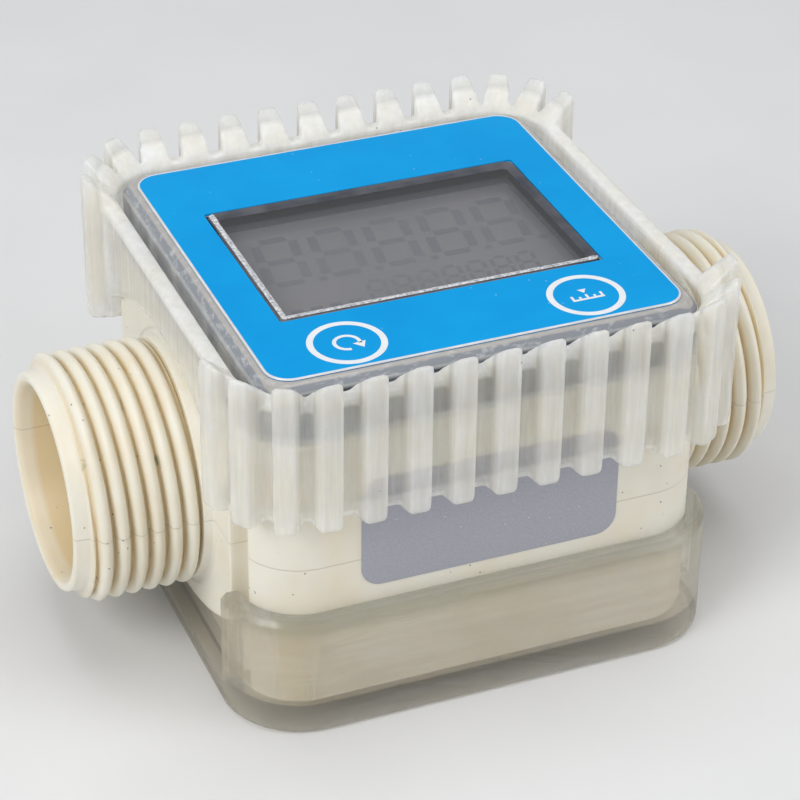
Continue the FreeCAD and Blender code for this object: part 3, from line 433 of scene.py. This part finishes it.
def ghost_segments():
    """Unlit digits, only a little darker than the display."""
    paint = Paint("lcd_segments", tone(84, 85, 92), 0.35)
    paint.color(paint.cloudy(10 * MM, 1, 0.3, 0.7, tone(80, 82, 89), tone(94, 92, 98)))
    return paint.material


def label_grey():
    """Bare satin label with a faint metallic grain and a few pale specks."""
    paint = Paint("grey_label", tone(158, 158, 170), 0.38, Metallic=0.25)
    colour = paint.cloudy(0.25 * MM, 2, 0.3, 0.7, tone(160, 161, 170), tone(174, 174, 183))
    dust = paint.specks(1.5 * MM, 0.04, 0.07, 0.8, 5 * MM)
    paint.color(paint.blend(dust, colour, tone(232, 233, 236)))
    return paint.material


def moulded(name, color, roughness=0.45, **sockets):
    """A plain moulded plastic with a little mottling."""
    paint = Paint(name, color, roughness, **sockets)
    darker = tuple(value * 0.82 for value in color)
    paint.color(paint.cloudy(3 * MM, 3, 0.3, 0.7, color, darker))
    paint.bump(paint.noise(0.5 * MM, 2), 0.008 * MM)
    return paint.material


def nylon(name, color):
    """A moulded nylon that light enters a little."""
    return moulded(name, color, 0.4, Subsurface_Weight=0.2, Subsurface_Scale=MM)


def metal(name, color, roughness):
    """Turned or pressed metal with fine scratches along X."""
    paint = Paint(name, color, roughness, Metallic=1.0)
    lines = paint.noise(0.4 * MM, 3, where=paint.stretch((0.1, 1, 1)))
    paint.rough(paint.fit(lines, 0.3, 0.7, roughness * 0.7, roughness * 1.4))
    return paint.material


MATERIALS = {
    "cream_body": cream_plastic(),
    "frosted_guard": frosted_plastic(),
    "clear_boot": clear_boot_plastic(),
    "clear_case": clear_case_plastic(),
    "blue_film": blue_film(),
    "lcd_grey": display_grey(),
    "grey_label": label_grey(),
    "dark_frame": moulded("dark_frame", tone(40, 40, 44)),
    "grey_rubber": moulded("grey_rubber", tone(196, 197, 195), 0.6),
    "white_holder": moulded("white_holder", tone(225, 225, 220)),
    "board_green": moulded("board_green", tone(24, 92, 58), 0.3),
    "chip_black": moulded("chip_black", tone(34, 34, 36), 0.5),
    "black_tray": moulded("black_tray", tone(48, 48, 50), 0.5),
    "cell_sleeve": moulded("cell_sleeve", tone(58, 60, 66), 0.3),
    "guide_nylon": nylon("guide_nylon", tone(222, 216, 198)),
    "rotor_nylon": nylon("rotor_nylon", tone(214, 212, 202)),
    "bush_ceramic": moulded("bush_ceramic", tone(240, 238, 230), 0.2),
    "magnet_black": moulded("magnet_black", tone(60, 60, 64), 0.3, Metallic=0.6),
    "screw_steel": metal("screw_steel", tone(200, 200, 198), 0.3),
    "plated_contact": metal("plated_contact", tone(214, 212, 204), 0.2),
    "shaft_carbide": metal("shaft_carbide", tone(168, 168, 172), 0.25),
}
WHITE_INK = white_ink()
GHOST = ghost_segments()
PANE_EDGE = pane_edge()
RIM_GLINT = moulded("rim_glint", tone(226, 228, 230), 0.12)


def paint_nodes():
    """Every CAD node gets the material of its slot."""
    for part in frame["record"]["subparts"]:
        mesh = frame["nodes"][part["node"]].data
        mesh.materials.clear()
        mesh.materials.append(MATERIALS[part["material_slot"]])


# ------------------------------------------------------------------ piece helpers

def piece(name, mesh, material, body="housing"):
    """An object from a mesh, in place, that rides on a body."""
    thing = bpy.data.objects.new(name, mesh)
    scene.collection.objects.link(thing)
    mesh.materials.clear()
    mesh.materials.append(material)
    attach(thing, body)
    return thing


def smooth(mesh, angle=35):
    """Smooth shading, with edges sharper than angle kept crisp."""
    mesh.shade_smooth()
    mesh.set_sharp_from_angle(angle=math.radians(angle))


def finished(name, work, angle=35):
    """A mesh from bmesh work, shaded smooth."""
    mesh = bpy.data.meshes.new(name)
    bmesh.ops.recalc_face_normals(work, faces=work.faces)
    work.to_mesh(mesh)
    work.free()
    smooth(mesh, angle)
    return mesh


def bridge(work, rings, flipped=False):
    """Faces between closed rings of points, from each ring to the next."""
    for near, far in zip(rings, rings[1:]):
        for step in range(len(near)):
            after = (step + 1) % len(near)
            corners = (near[step], near[after], far[after], far[step])
            work.faces.new(corners[::-1] if flipped else corners)


def soft_skin(thing, voxel, passes, kept):
    """Remakes a thing modelled in millimetres as one closed soft skin, then brings it to metres."""
    skin = thing.modifiers.new("Skin", "REMESH")
    skin.mode = "VOXEL"
    skin.voxel_size = voxel
    soft = thing.modifiers.new("Soft", "SMOOTH")
    soft.factor = 0.5
    soft.iterations = passes
    light = thing.modifiers.new("Light", "DECIMATE")
    light.ratio = kept
    material = thing.data.materials[0]
    graph = bpy.context.evaluated_depsgraph_get()
    mesh = bpy.data.meshes.new_from_object(thing.evaluated_get(graph))
    thing.modifiers.clear()
    thing.data = mesh
    mesh.name = thing.name
    mesh.materials.clear()
    mesh.materials.append(material)
    mesh.transform(Matrix.Scale(MM, 4))


def soften(thing, width, segments):
    """Rounds every sharp edge."""
    bevel = thing.modifiers.new("Rounded", "BEVEL")
    bevel.width = width
    bevel.segments = segments
    bevel.limit_method = "ANGLE"
    bevel.angle_limit = math.radians(32)
    bevel.harden_normals = True
    bevel.miter_outer = "MITER_ARC"


def copied(name, node, remove=None, closed_front=None):
    """A clean copy of a CAD node's mesh, without the faces that remove() picks.

    Openings that this leaves in the plane y = closed_front are filled.
    """
    mesh = frame["nodes"][node].data.copy()
    mesh.name = name
    work = bmesh.new()
    work.from_mesh(mesh)
    bmesh.ops.remove_doubles(work, verts=work.verts, dist=0.002 * MM)
    if remove:
        picked = [face for face in work.faces if remove(face)]
        bmesh.ops.delete(work, geom=picked, context="FACES")
    if closed_front is not None:
        rim = [edge for edge in work.edges if edge.is_boundary
               and all(abs(vert.co.y - closed_front) < 0.01 * MM for vert in edge.verts)]
        bmesh.ops.holes_fill(work, edges=rim, sides=0)
    bmesh.ops.dissolve_limit(work, angle_limit=math.radians(0.5), verts=work.verts,
                             edges=work.edges)
    work.to_mesh(mesh)
    work.free()
    return mesh


# ------------------------------------------------------------------ body with its threads

TURN_STEPS = 144  # points round one turn
PITCH_STEPS = 14  # points along one pitch
SEAM_DIP = 0.93  # share of a crest's height that is left where the mould parts
CREST_SHARE = 0.86  # share of the pitch that a ridge takes; the rest is the root
ROOT_CUT = 0.15  # share of the round ridge that lies below the root
RUN_IN = 0.5 * MM
RUN_OUT = 0.6 * MM
LIP_EDGE = 0.35 * MM
SEAT_MARGIN = 0.2 * MM
SEAT_DEPTH = 0.4 * MM
BODY_SKIN = (0.34, 3, 0.16)  # voxel in mm, smoothing passes, share of the faces kept


def thread_height(along, turn, hand):
    """0 at a root, 1 at a crest, with rounded crests and roots; the ends run out."""
    phase = (along * hand / THREAD_PITCH - turn / (2 * math.pi)) % 1.0
    across = min(1.0, abs(2 * phase - 1) / CREST_SHARE)
    shaped = max(0.0, (math.sqrt(1 - across ** 2) - ROOT_CUT) / (1 - ROOT_CUT))
    start = min(1.0, (along - THREAD_START) / RUN_IN)
    end = min(1.0, (THREAD_END - along) / RUN_OUT)
    return shaped * max(0.0, min(start, end))


def spigot_profile():
    """(place along the pipe, radius, whether the thread stands on it) from the boss to the bore."""
    neck = THREAD_RADIUS - 0.3 * MM
    seat = BOSS_FACE - 0.03 * MM
    rim = THREAD_RADIUS + 1.1 * MM
    profile = [(seat - 0.8 * MM, rim, False), (seat, rim, False),
               (seat, THREAD_RADIUS + 0.2 * MM, False), (BOSS_FACE + 0.3 * MM, neck, False),
               (THREAD_START - 0.25 * MM, neck, False),
               (THREAD_START - 0.05 * MM, neck - 0.1 * MM, False)]
    steps = int((THREAD_END - THREAD_START) / (THREAD_PITCH / PITCH_STEPS))
    for step in range(steps + 1):
        along = THREAD_START + (THREAD_END - THREAD_START) * step / steps
        profile.append((along, THREAD_RADIUS - THREAD_DEPTH, True))
    profile += [(THREAD_END + 0.25 * MM, LIP_RADIUS + 0.1 * MM, False),
                (PIPE_END - LIP_EDGE, LIP_RADIUS, False),
                (PIPE_END - 0.1 * MM, LIP_RADIUS - 0.12 * MM, False),
                (PIPE_END, LIP_RADIUS - LIP_EDGE, False),
                (PIPE_END, MOUTH_RADIUS + 0.2 * MM, False),
                (PIPE_END - 0.12 * MM, MOUTH_RADIUS, False),
                (PIPE_END - 0.75 * MM, BORE_RADIUS, False),
                (BOSS_FACE - 0.3 * MM, BORE_RADIUS, False)]
    return profile


def add_spigot(work, side):
    """A threaded spigot from the boss face to the mouth, and a short way into the bore."""
    rings = []
    for along, radius, threaded in spigot_profile():
        ring = []
        for step in range(TURN_STEPS):
            turn = 2 * math.pi * step / TURN_STEPS
            reach = radius
            if threaded:
                crest = thread_height(along, turn, side)
                if step % (TURN_STEPS // 2) == 0:
                    crest *= SEAM_DIP
                reach += THREAD_DEPTH * crest
            place = (side * along, reach * math.cos(turn), PIPE_AXIS + reach * math.sin(turn))
            ring.append(work.verts.new(place))
        rings.append(ring)
    bridge(work, rings, flipped=side > 0)


def make_body():
    """The moulding without its plain spigots and label seat, then its threaded spigots."""
    low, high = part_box("side_plate")
    front = low[1]

    def in_seat(face):
        return all(front - 0.01 * MM < vert.co.y < front + SEAT_DEPTH
                   and abs(vert.co.x) < high[0] + SEAT_MARGIN
                   and low[2] - SEAT_MARGIN < vert.co.z < high[2] + SEAT_MARGIN
                   for vert in face.verts)

    mesh = copied("body_shell", "meter_body", in_seat, front)
    body = piece("body_shell", mesh, MATERIALS["cream_body"])
    body.data.transform(Matrix.Scale(1 / MM, 4))
    soft_skin(body, *BODY_SKIN)
    trimmed = bmesh.new()
    trimmed.from_mesh(body.data)
    for side in (-1, 1):
        everything = trimmed.verts[:] + trimmed.edges[:] + trimmed.faces[:]
        cut = (side * (BOSS_FACE + 0.02 * MM), 0, 0)
        bmesh.ops.bisect_plane(trimmed, geom=everything, plane_co=cut, plane_no=(side, 0, 0),
                               clear_outer=True)
    trimmed.to_mesh(body.data)
    trimmed.free()
    smooth(body.data, 60)
    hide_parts("meter_body")
    work = bmesh.new()
    for side in (-1, 1):
        add_spigot(work, side)
    ends = piece("pipe_threads", finished("pipe_threads", work, 60), MATERIALS["cream_body"])


# ------------------------------------------------------------------ sleeve

FINS_PER_SIDE = 9
FIN_PITCH = 5.8 * MM
FINS_PER_CORNER = 3
FAN_STEP = math.radians(27)
FIN_HALF_ROOT = 2.1 * MM
FIN_HALF_TIP = 1.35 * MM
FIN_DROP = 0.45 * MM  # how far a fin's outer edge hangs below the wall
FIN_START = 0.2 * MM
FIN_REACH = SLEEVE_WALL + FIN_DEPTH - 0.05 * MM  # a little short, so the soft skin stays in its box
FIN_FACES = ((0, 1, 3, 2), (4, 6, 7, 5), (0, 4, 5, 1), (2, 3, 7, 6), (0, 2, 6, 4), (1, 5, 7, 3))
FIN_TIP_FACE = 1
FIN_NOSE = 1.0  # rounding of the tip's two ends, in mm
FIN_EDGE = 0.5  # rounding of the other edges, in mm
ARCH_STEPS = 28
ARCH_FOOT = 0.05 * MM
CORNER_STEPS = 12
EDGE_STEPS = 3
WALL_EDGE = 0.4 * MM
SLEEVE_SKIN = (0.24, 4, 0.16)  # voxel in mm, smoothing passes, share of the faces kept


def arch(y):
    """Lower edge of the sleeve over a boss."""
    return PIPE_AXIS + BOSS_CROWN - BOSS_BOW + math.sqrt((BOSS_BOW + BOSS_GAP) ** 2 - y ** 2)


def sleeve_stations():
    """(point on the inner face, outward direction, lower edge) all the way round."""
    straight = SLEEVE_INNER - SLEEVE_CORNER
    stations = []
    for quarter in range(4):
        turn = Matrix.Rotation(quarter * math.pi / 2, 2)
        places = [(-straight, SLEEVE_FOOT)]
        over_a_boss = quarter % 2 == 0
        if over_a_boss:
            places.append((-BOSS_HALF - ARCH_FOOT, SLEEVE_FOOT))
            for step in range(ARCH_STEPS + 1):
                y = BOSS_HALF * (2 * step / ARCH_STEPS - 1)
                places.append((y, arch(y)))
            places.append((BOSS_HALF + ARCH_FOOT, SLEEVE_FOOT))
        for y, lower in places:
            stations.append((turn @ Vector((SLEEVE_INNER, y)), turn @ Vector((1, 0)), lower))
        for step in range(CORNER_STEPS):
            angle = step / CORNER_STEPS * math.pi / 2
            out = Vector((math.cos(angle), math.sin(angle)))
            point = Vector((straight, straight)) + SLEEVE_CORNER * out
            stations.append((turn @ point, turn @ out, SLEEVE_FOOT))
    return stations


def wall_section():
    """(distance outwards, which end of the wall, distance in from that end) round the section."""
    turns = [step / EDGE_STEPS * math.pi / 2 for step in range(EDGE_STEPS + 1)]
    arc = [(math.sin(turn), 1 - math.cos(turn)) for turn in turns]
    inner = [(WALL_EDGE - WALL_EDGE * over, WALL_EDGE * down) for over, down in arc]
    outer = [(SLEEVE_WALL - WALL_EDGE + WALL_EDGE * over, WALL_EDGE * down) for over, down in arc]
    head = [(offset, "head", inset) for offset, inset in inner[::-1] + outer]
    foot = [(offset, "foot", inset) for offset, inset in outer[::-1] + inner]
    return head + foot


def sleeve_wall():
    """The wall in millimetres: its section, swept round the rounded square."""
    section = wall_section()
    work = bmesh.new()
    rings = []
    for point, out, lower in sleeve_stations():
        ring = []
        for offset, end, inset in section:
            place = point + offset * out
            height = SLEEVE_TOP - inset if end == "head" else lower + inset
            ring.append(work.verts.new(Vector((place.x, place.y, height)) / MM))
        rings.append(ring)
    bridge(work, rings + rings[:1])
    return finished("sleeve_wall", work)


def add_fin(work, root, out):
    """One fin in millimetres, from the inner face of the wall outwards, with soft edges."""
    along = Vector((-out.y, out.x))
    corners = []
    for offset, half, lower, upper in (
            (FIN_START, FIN_HALF_ROOT, SLEEVE_FOOT, SLEEVE_TOP + FIN_START),
            (FIN_REACH, FIN_HALF_TIP, SLEEVE_FOOT - FIN_DROP, FIN_TOP)):
        for side in (-1, 1):
            for height in (lower, upper):
                place = root + offset * out + side * half * along
                corners.append(work.verts.new(Vector((place.x, place.y, height)) / MM))
    solid = [work.faces.new([corners[index] for index in face]) for face in FIN_FACES]
    ends = [edge for edge in solid[FIN_TIP_FACE].edges
            if abs(edge.verts[0].co.z - edge.verts[1].co.z) < 0.01]
    rounded = bmesh.ops.bevel(work, geom=ends, offset=FIN_NOSE, segments=3, profile=0.5,
                              affect="EDGES")
    faces = set(rounded["faces"]) | {face for face in solid if face.is_valid}
    edges = {edge for face in faces for edge in face.edges if edge.is_manifold}
    sharp = [edge for edge in edges if abs(edge.calc_face_angle_signed(0)) > math.radians(40)]
    bmesh.ops.bevel(work, geom=sharp, offset=FIN_EDGE, segments=3, profile=0.5, affect="EDGES")


def all_fins():
    """Straight fins along the front and back, and a fan of them round each corner."""
    work = bmesh.new()
    straight = SLEEVE_INNER - SLEEVE_CORNER
    for front in (-1, 1):
        for index in range(FINS_PER_SIDE):
            x = (index - (FINS_PER_SIDE - 1) / 2) * FIN_PITCH
            add_fin(work, Vector((x, front * SLEEVE_INNER)), Vector((0, front)))
    for side in (-1, 1):
        for front in (-1, 1):
            for step in range(1, FINS_PER_CORNER + 1):
                out = Vector((side * math.sin(step * FAN_STEP), front * math.cos(step * FAN_STEP)))
                root = Vector((side * straight, front * straight)) + SLEEVE_CORNER * out
                add_fin(work, root, out)
    return finished("sleeve_fins", work)


def make_sleeve():
    """Wall and fins in one soft skin."""
    sleeve = piece("bumper_sleeve", sleeve_wall(), MATERIALS["frosted_guard"])
    work = bmesh.new()
    work.from_mesh(sleeve.data)
    fins = all_fins()
    work.from_mesh(fins)
    work.to_mesh(sleeve.data)
    work.free()
    bpy.data.meshes.remove(fins)
    soft_skin(sleeve, *SLEEVE_SKIN)
    smooth(sleeve.data, 60)
    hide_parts("fin_guard")


# ------------------------------------------------------------------ boot and case

def make_cover(name, node, slot, width, segments):
    """A copy of a CAD node with its edges rounded by width."""
    mesh = copied(name, node)
    thing = piece(name, mesh, MATERIALS[slot])
    smooth(mesh)
    soften(thing, width, segments)
    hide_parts(node)


# ------------------------------------------------------------------ flat shapes

PRINT_LIFT = 0.015 * MM
LOOP_STEPS = 8


def flat(work, points, height):
    """A flat printed patch through points, in the order they are given."""
    return work.faces.new([work.verts.new((x, y, height)) for x, y in points])


def band(work, centre, inner, outer, height, start=0.0, end=2 * math.pi, steps=72):
    """A flat ring or arc between two radii."""
    turns = [start + (end - start) * step / steps for step in range(steps + 1)]
    for near, far in zip(turns, turns[1:]):
        points = [(centre.x + radius * math.cos(turn), centre.y + radius * math.sin(turn))
                  for radius, turn in ((inner, near), (outer, near), (outer, far), (inner, far))]
        flat(work, points, height)


def bar(work, start, end, width, height):
    """A flat straight stroke."""
    start, end = Vector(start), Vector(end)
    side = (end - start).normalized()
    side = Vector((-side.y, side.x)) * width / 2
    flat(work, [start - side, end - side, end + side, start + side], height)


def row(centre, first, pitch, count):
    """Places in a row, from first on; first and pitch are in millimetres."""
    return [centre + Vector((first[0] + pitch * index, first[1])) * MM for index in range(count)]


def rounded_loop(low, high, corner):
    """Points round a rectangle with rounded corners."""
    points = []
    centres = ((high.x - corner, high.y - corner), (low.x + corner, high.y - corner),
               (low.x + corner, low.y + corner), (high.x - corner, low.y + corner))
    for index, (x, y) in enumerate(centres):
        for step in range(LOOP_STEPS + 1):
            turn = (index + step / LOOP_STEPS) * math.pi / 2
            points.append((x + corner * math.cos(turn), y + corner * math.sin(turn)))
    return points


# ------------------------------------------------------------------ label and key prints

LABEL_CORNER = 2.8 * MM
LABEL_PROUD = 0.09 * MM
LABEL_EDGE = 0.03 * MM
LABEL_SUNK = 0.02 * MM
RING_INNER, RING_OUTER = 4.2 * MM, 5.05 * MM
ARROW_INNER, ARROW_OUTER = 1.35 * MM, 1.85 * MM
ARROW_MIDDLE = 1.6 * MM
ARROW_START, ARROW_END = math.radians(-20), math.radians(270)
ARROW_STEPS = 40
ARROW_HEAD = ((-0.95 * MM, 0.1 * MM), (0.15 * MM, -1.15 * MM), (0.85 * MM, 0.3 * MM))
# The calibrate key's scale, in millimetres
SCALE_HALF, SCALE_BASE, SCALE_STROKE = 2.2, -0.9, 0.4
TICKS, TICK_FOOT, TICK_STROKE = 5, -0.72, 0.34
LONG_TICK, SHORT_TICK = 0.9, 0.5
POINTER = ((-0.6, 1.5), (0, 0.55), (0.6, 1.5))


def make_label():
    """The bare label stands a little proud of the front face, with rounded corners."""
    low, high = (Vector(corner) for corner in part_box("side_plate"))
    work = bmesh.new()
    middle_x, middle_z = (low.x + high.x) / 2, (low.z + high.z) / 2
    rings = []
    levels = ((0, LABEL_SUNK), (0, -LABEL_PROUD + LABEL_EDGE), (LABEL_EDGE, -LABEL_PROUD))
    for inset, depth in levels:
        ring = []
        for x, z in rounded_loop(low.xz, high.xz, LABEL_CORNER):
            towards = Vector((middle_x - x, middle_z - z)).normalized() * inset
            ring.append(work.verts.new((x + towards.x, low.y + depth, z + towards.y)))
        rings.append(ring)
    bridge(work, rings)
    work.faces.new(rings[-1])
    label = piece("front_label", finished("front_label", work), MATERIALS["grey_label"])
    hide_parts("side_plate")


def make_key_rings():
    """A white ring on the film round each key."""
    height = top("display_overlay") + PRINT_LIFT
    for node in ("reset_button", "calibrate_button"):
        work = bmesh.new()
        band(work, middle(node).xy, RING_INNER, RING_OUTER, height)
        ring = piece(node + "_ring", finished(node + "_ring", work), WHITE_INK)


def make_reset_mark():
    """A turning arrow on the reset key."""
    height = top("display_overlay") + PRINT_LIFT
    centre = middle("reset_button").xy
    work = bmesh.new()
    band(work, centre, ARROW_INNER, ARROW_OUTER, height, ARROW_START, ARROW_END, ARROW_STEPS)
    tip = centre + Vector((ARROW_MIDDLE * math.cos(ARROW_START),
                           ARROW_MIDDLE * math.sin(ARROW_START)))
    flat(work, [tip + Vector(corner) for corner in ARROW_HEAD], height)
    arrow = piece("reset_mark", finished("reset_mark", work), WHITE_INK, "reset_key")


def make_calibrate_mark():
    """A scale with a pointer on the calibrate key."""
    height = top("display_overlay") + PRINT_LIFT
    centre = middle("calibrate_button").xy
    work = bmesh.new()
    base = [centre + Vector((x, SCALE_BASE)) * MM for x in (-SCALE_HALF, SCALE_HALF)]
    bar(work, *base, SCALE_STROKE * MM, height)
    for index, root in enumerate(row(centre, (-(TICKS // 2), TICK_FOOT), 1, TICKS)):
        tall = LONG_TICK if index % 2 == 0 else SHORT_TICK
        bar(work, root, root + Vector((0, tall)) * MM, TICK_STROKE * MM, height)
    flat(work, [centre + Vector(corner) * MM for corner in POINTER], height)
    scale = piece("calibrate_mark", finished("calibrate_mark", work), WHITE_INK, "calibrate_key")


# ------------------------------------------------------------------ display

# The seven bars of a digit, between points of a grid two wide and three tall
SEGMENTS = (((0, 1), (0, 2)), ((0, 2), (1, 2)), ((1, 1), (1, 2)), ((1, 0), (1, 1)),
            ((0, 0), (1, 0)), ((0, 0), (0, 1)), ((0, 1), (1, 1)))
DIGIT_SLANT = 0.14
SEGMENT_GAP = 0.6
DISPLAY_LIFT = 0.03 * MM
# Places from the display's middle and pitches in millimetres, then how many
LARGE_ROW = ((-18.6, -1.6), 7.8, 5)
DOT_ROW = ((-12.1, -1.9), 7.8, 5)
SMALL_ROW = ((-7.5, -9.8), 3.5, 7)
SIGN_ROW = ((-18.4, -8.6), 2.6, 4)
# Width, height and stroke of a digit
LARGE_DIGIT = (5.2 * MM, 11.4 * MM, 1.3 * MM)
SMALL_DIGIT = (2.3 * MM, 5.0 * MM, 0.6 * MM)
DOT_SIDE = 1.0 * MM
SIGN_LENGTH, SIGN_STROKE = 1.6 * MM, 0.7 * MM


def digit(work, corner, width, tall, stroke, height):
    """The seven unlit bars of one digit, with gaps between them."""
    for ends in SEGMENTS:
        points = []
        for x, y in ends:
            across, up = x * width, y * tall / 2
            points.append(Vector((corner.x + across + DIGIT_SLANT * up, corner.y + up)))
        trim = (points[1] - points[0]).normalized() * stroke * SEGMENT_GAP
        bar(work, points[0] + trim, points[1] - trim, stroke, height)


def make_segments():
    """The unlit display: large digits with their points, small digits below, and a row of signs."""
    height = top("lcd_panel") + DISPLAY_LIFT
    centre = middle("lcd_panel").xy
    work = bmesh.new()
    for corner, dot in zip(row(centre, *LARGE_ROW), row(centre, *DOT_ROW)):
        digit(work, corner, *LARGE_DIGIT, height)
        bar(work, dot, dot + Vector((DOT_SIDE, 0)), DOT_SIDE, height)
    for corner in row(centre, *SMALL_ROW):
        digit(work, corner, *SMALL_DIGIT, height)
    for sign in row(centre, *SIGN_ROW):
        bar(work, sign, sign + Vector((SIGN_LENGTH, 0)), SIGN_STROKE, height)
    ghosts = piece("lcd_segments", finished("lcd_segments", work), GHOST)


# ------------------------------------------------------------------ rims of the pane and the film

# Heights over the film, in millimetres, from the outer loop of a rim to its inner one
PANE_RIM_LIFTS = (0.01, 0.03, 0.09, 0.11, 0.09, 0.03, 0.01)
FILM_RIM_LIFTS = (-0.15, 0.0, 0.04, 0.03, 0.005)
# The pane's rim is wider on the far sides, where the pane's depth shows
PANE_RIM_NEAR = Vector((1.0, 1.0)) * MM
PANE_RIM_FAR = Vector((1.5, 2.0)) * MM
PANE_CORNER, PANE_INNER_CORNER = 1.4 * MM, 0.7 * MM
FILM_RIM = Vector((0.3, 0.3)) * MM


def make_rim(name, outer, inner, lifts, material):
    """A narrow frame between two loops, at the heights that lifts gives from one to the other."""
    film = top("display_overlay")
    work = bmesh.new()
    rings = []
    for index, lift in enumerate(lifts):
        part = index / (len(lifts) - 1)
        height = film + lift * MM
        rings.append([work.verts.new((x0 + (x1 - x0) * part, y0 + (y1 - y0) * part, height))
                      for (x0, y0), (x1, y1) in zip(outer, inner)])
    bridge(work, rings)
    rim = piece(name, finished(name, work, 50), material)


def make_rims():
    """The edges of the raised pane and of the film: thin strips with painted highlights, and painted shade on the
    pane's far sides.
    """
    outer = rounded_loop(-PANE_HALF, PANE_HALF, PANE_CORNER)
    inner = rounded_loop(-PANE_HALF + PANE_RIM_NEAR, PANE_HALF - PANE_RIM_FAR, PANE_INNER_CORNER)
    make_rim("pane_rim", outer, inner, PANE_RIM_LIFTS, PANE_EDGE)
    edge = Vector((FILM_EDGE, FILM_EDGE))
    outwards, inwards = FILM_RIM / 3, FILM_RIM * 2 / 3
    outer = rounded_loop(-edge - outwards, edge + outwards, FILM_CORNER + FILM_RIM.x / 3)
    inner = rounded_loop(-edge + inwards, edge - inwards, FILM_CORNER - FILM_RIM.x * 2 / 3)
    make_rim("film_rim", outer, inner, FILM_RIM_LIFTS, RIM_GLINT)


# ------------------------------------------------------------------ floor and light

WORLD_COLOR = (0.95, 0.97, 1, 1)
WORLD_STRENGTH = 0.36
FLOOR_HALF = 6
# Name, place in metres, side in metres, power in watts
LAMPS = (("Key", (-0.7, -0.3, 0.6), 0.45, 4.5), ("Overhead", (0.05, 0.0, 0.9), 0.7, 3.1),
         ("Fill", (0.7, -0.5, 0.35), 0.5, 2.2))


def make_stage():
    """A plain pale floor."""
    data = bpy.data.meshes.new("floor")
    work = bmesh.new()
    bmesh.ops.create_grid(work, x_segments=1, y_segments=1, size=FLOOR_HALF)
    work.to_mesh(data)
    work.free()
    floor = bpy.data.objects.new("floor", data)
    scene.collection.objects.link(floor)
    paint = Paint("floor_paper", tone(226, 226, 226), 0.6)
    paint.color(paint.cloudy(40 * MM, 2, 0.3, 0.7, tone(227, 227, 227), tone(223, 223, 223)))
    data.materials.append(paint.material)


def make_light():
    """Plain soft studio light: an even world and three large lamps aimed at the meter."""
    world = bpy.data.worlds.new("Studio")
    scene.world = world
    world.use_nodes = True
    background = world.node_tree.nodes["Background"]
    background.inputs["Color"].default_value = WORLD_COLOR
    background.inputs["Strength"].default_value = WORLD_STRENGTH
    aim = Vector((0, 0, PIPE_AXIS))
    for name, place, size, power in LAMPS:
        data = bpy.data.lights.new(name, "AREA")
        data.size = size
        data.energy = power
        lamp = bpy.data.objects.new(name, data)
        scene.collection.objects.link(lamp)
        lamp.location = place
        lamp.rotation_euler = (aim - Vector(place)).to_track_quat("-Z", "Y").to_euler()


# ------------------------------------------------------------------ the whole scene

place_camera()
paint_nodes()
make_body()
make_sleeve()
make_cover("clear_tray", "base_boot", "clear_boot", 0.35 * MM, 3)
make_cover("module_case", "display_case", "clear_case", 0.12 * MM, 2)
make_label()
make_key_rings()
make_reset_mark()
make_calibrate_mark()
make_segments()
make_rims()
make_stage()
make_light()
scene.view_settings.view_transform = "Standard"
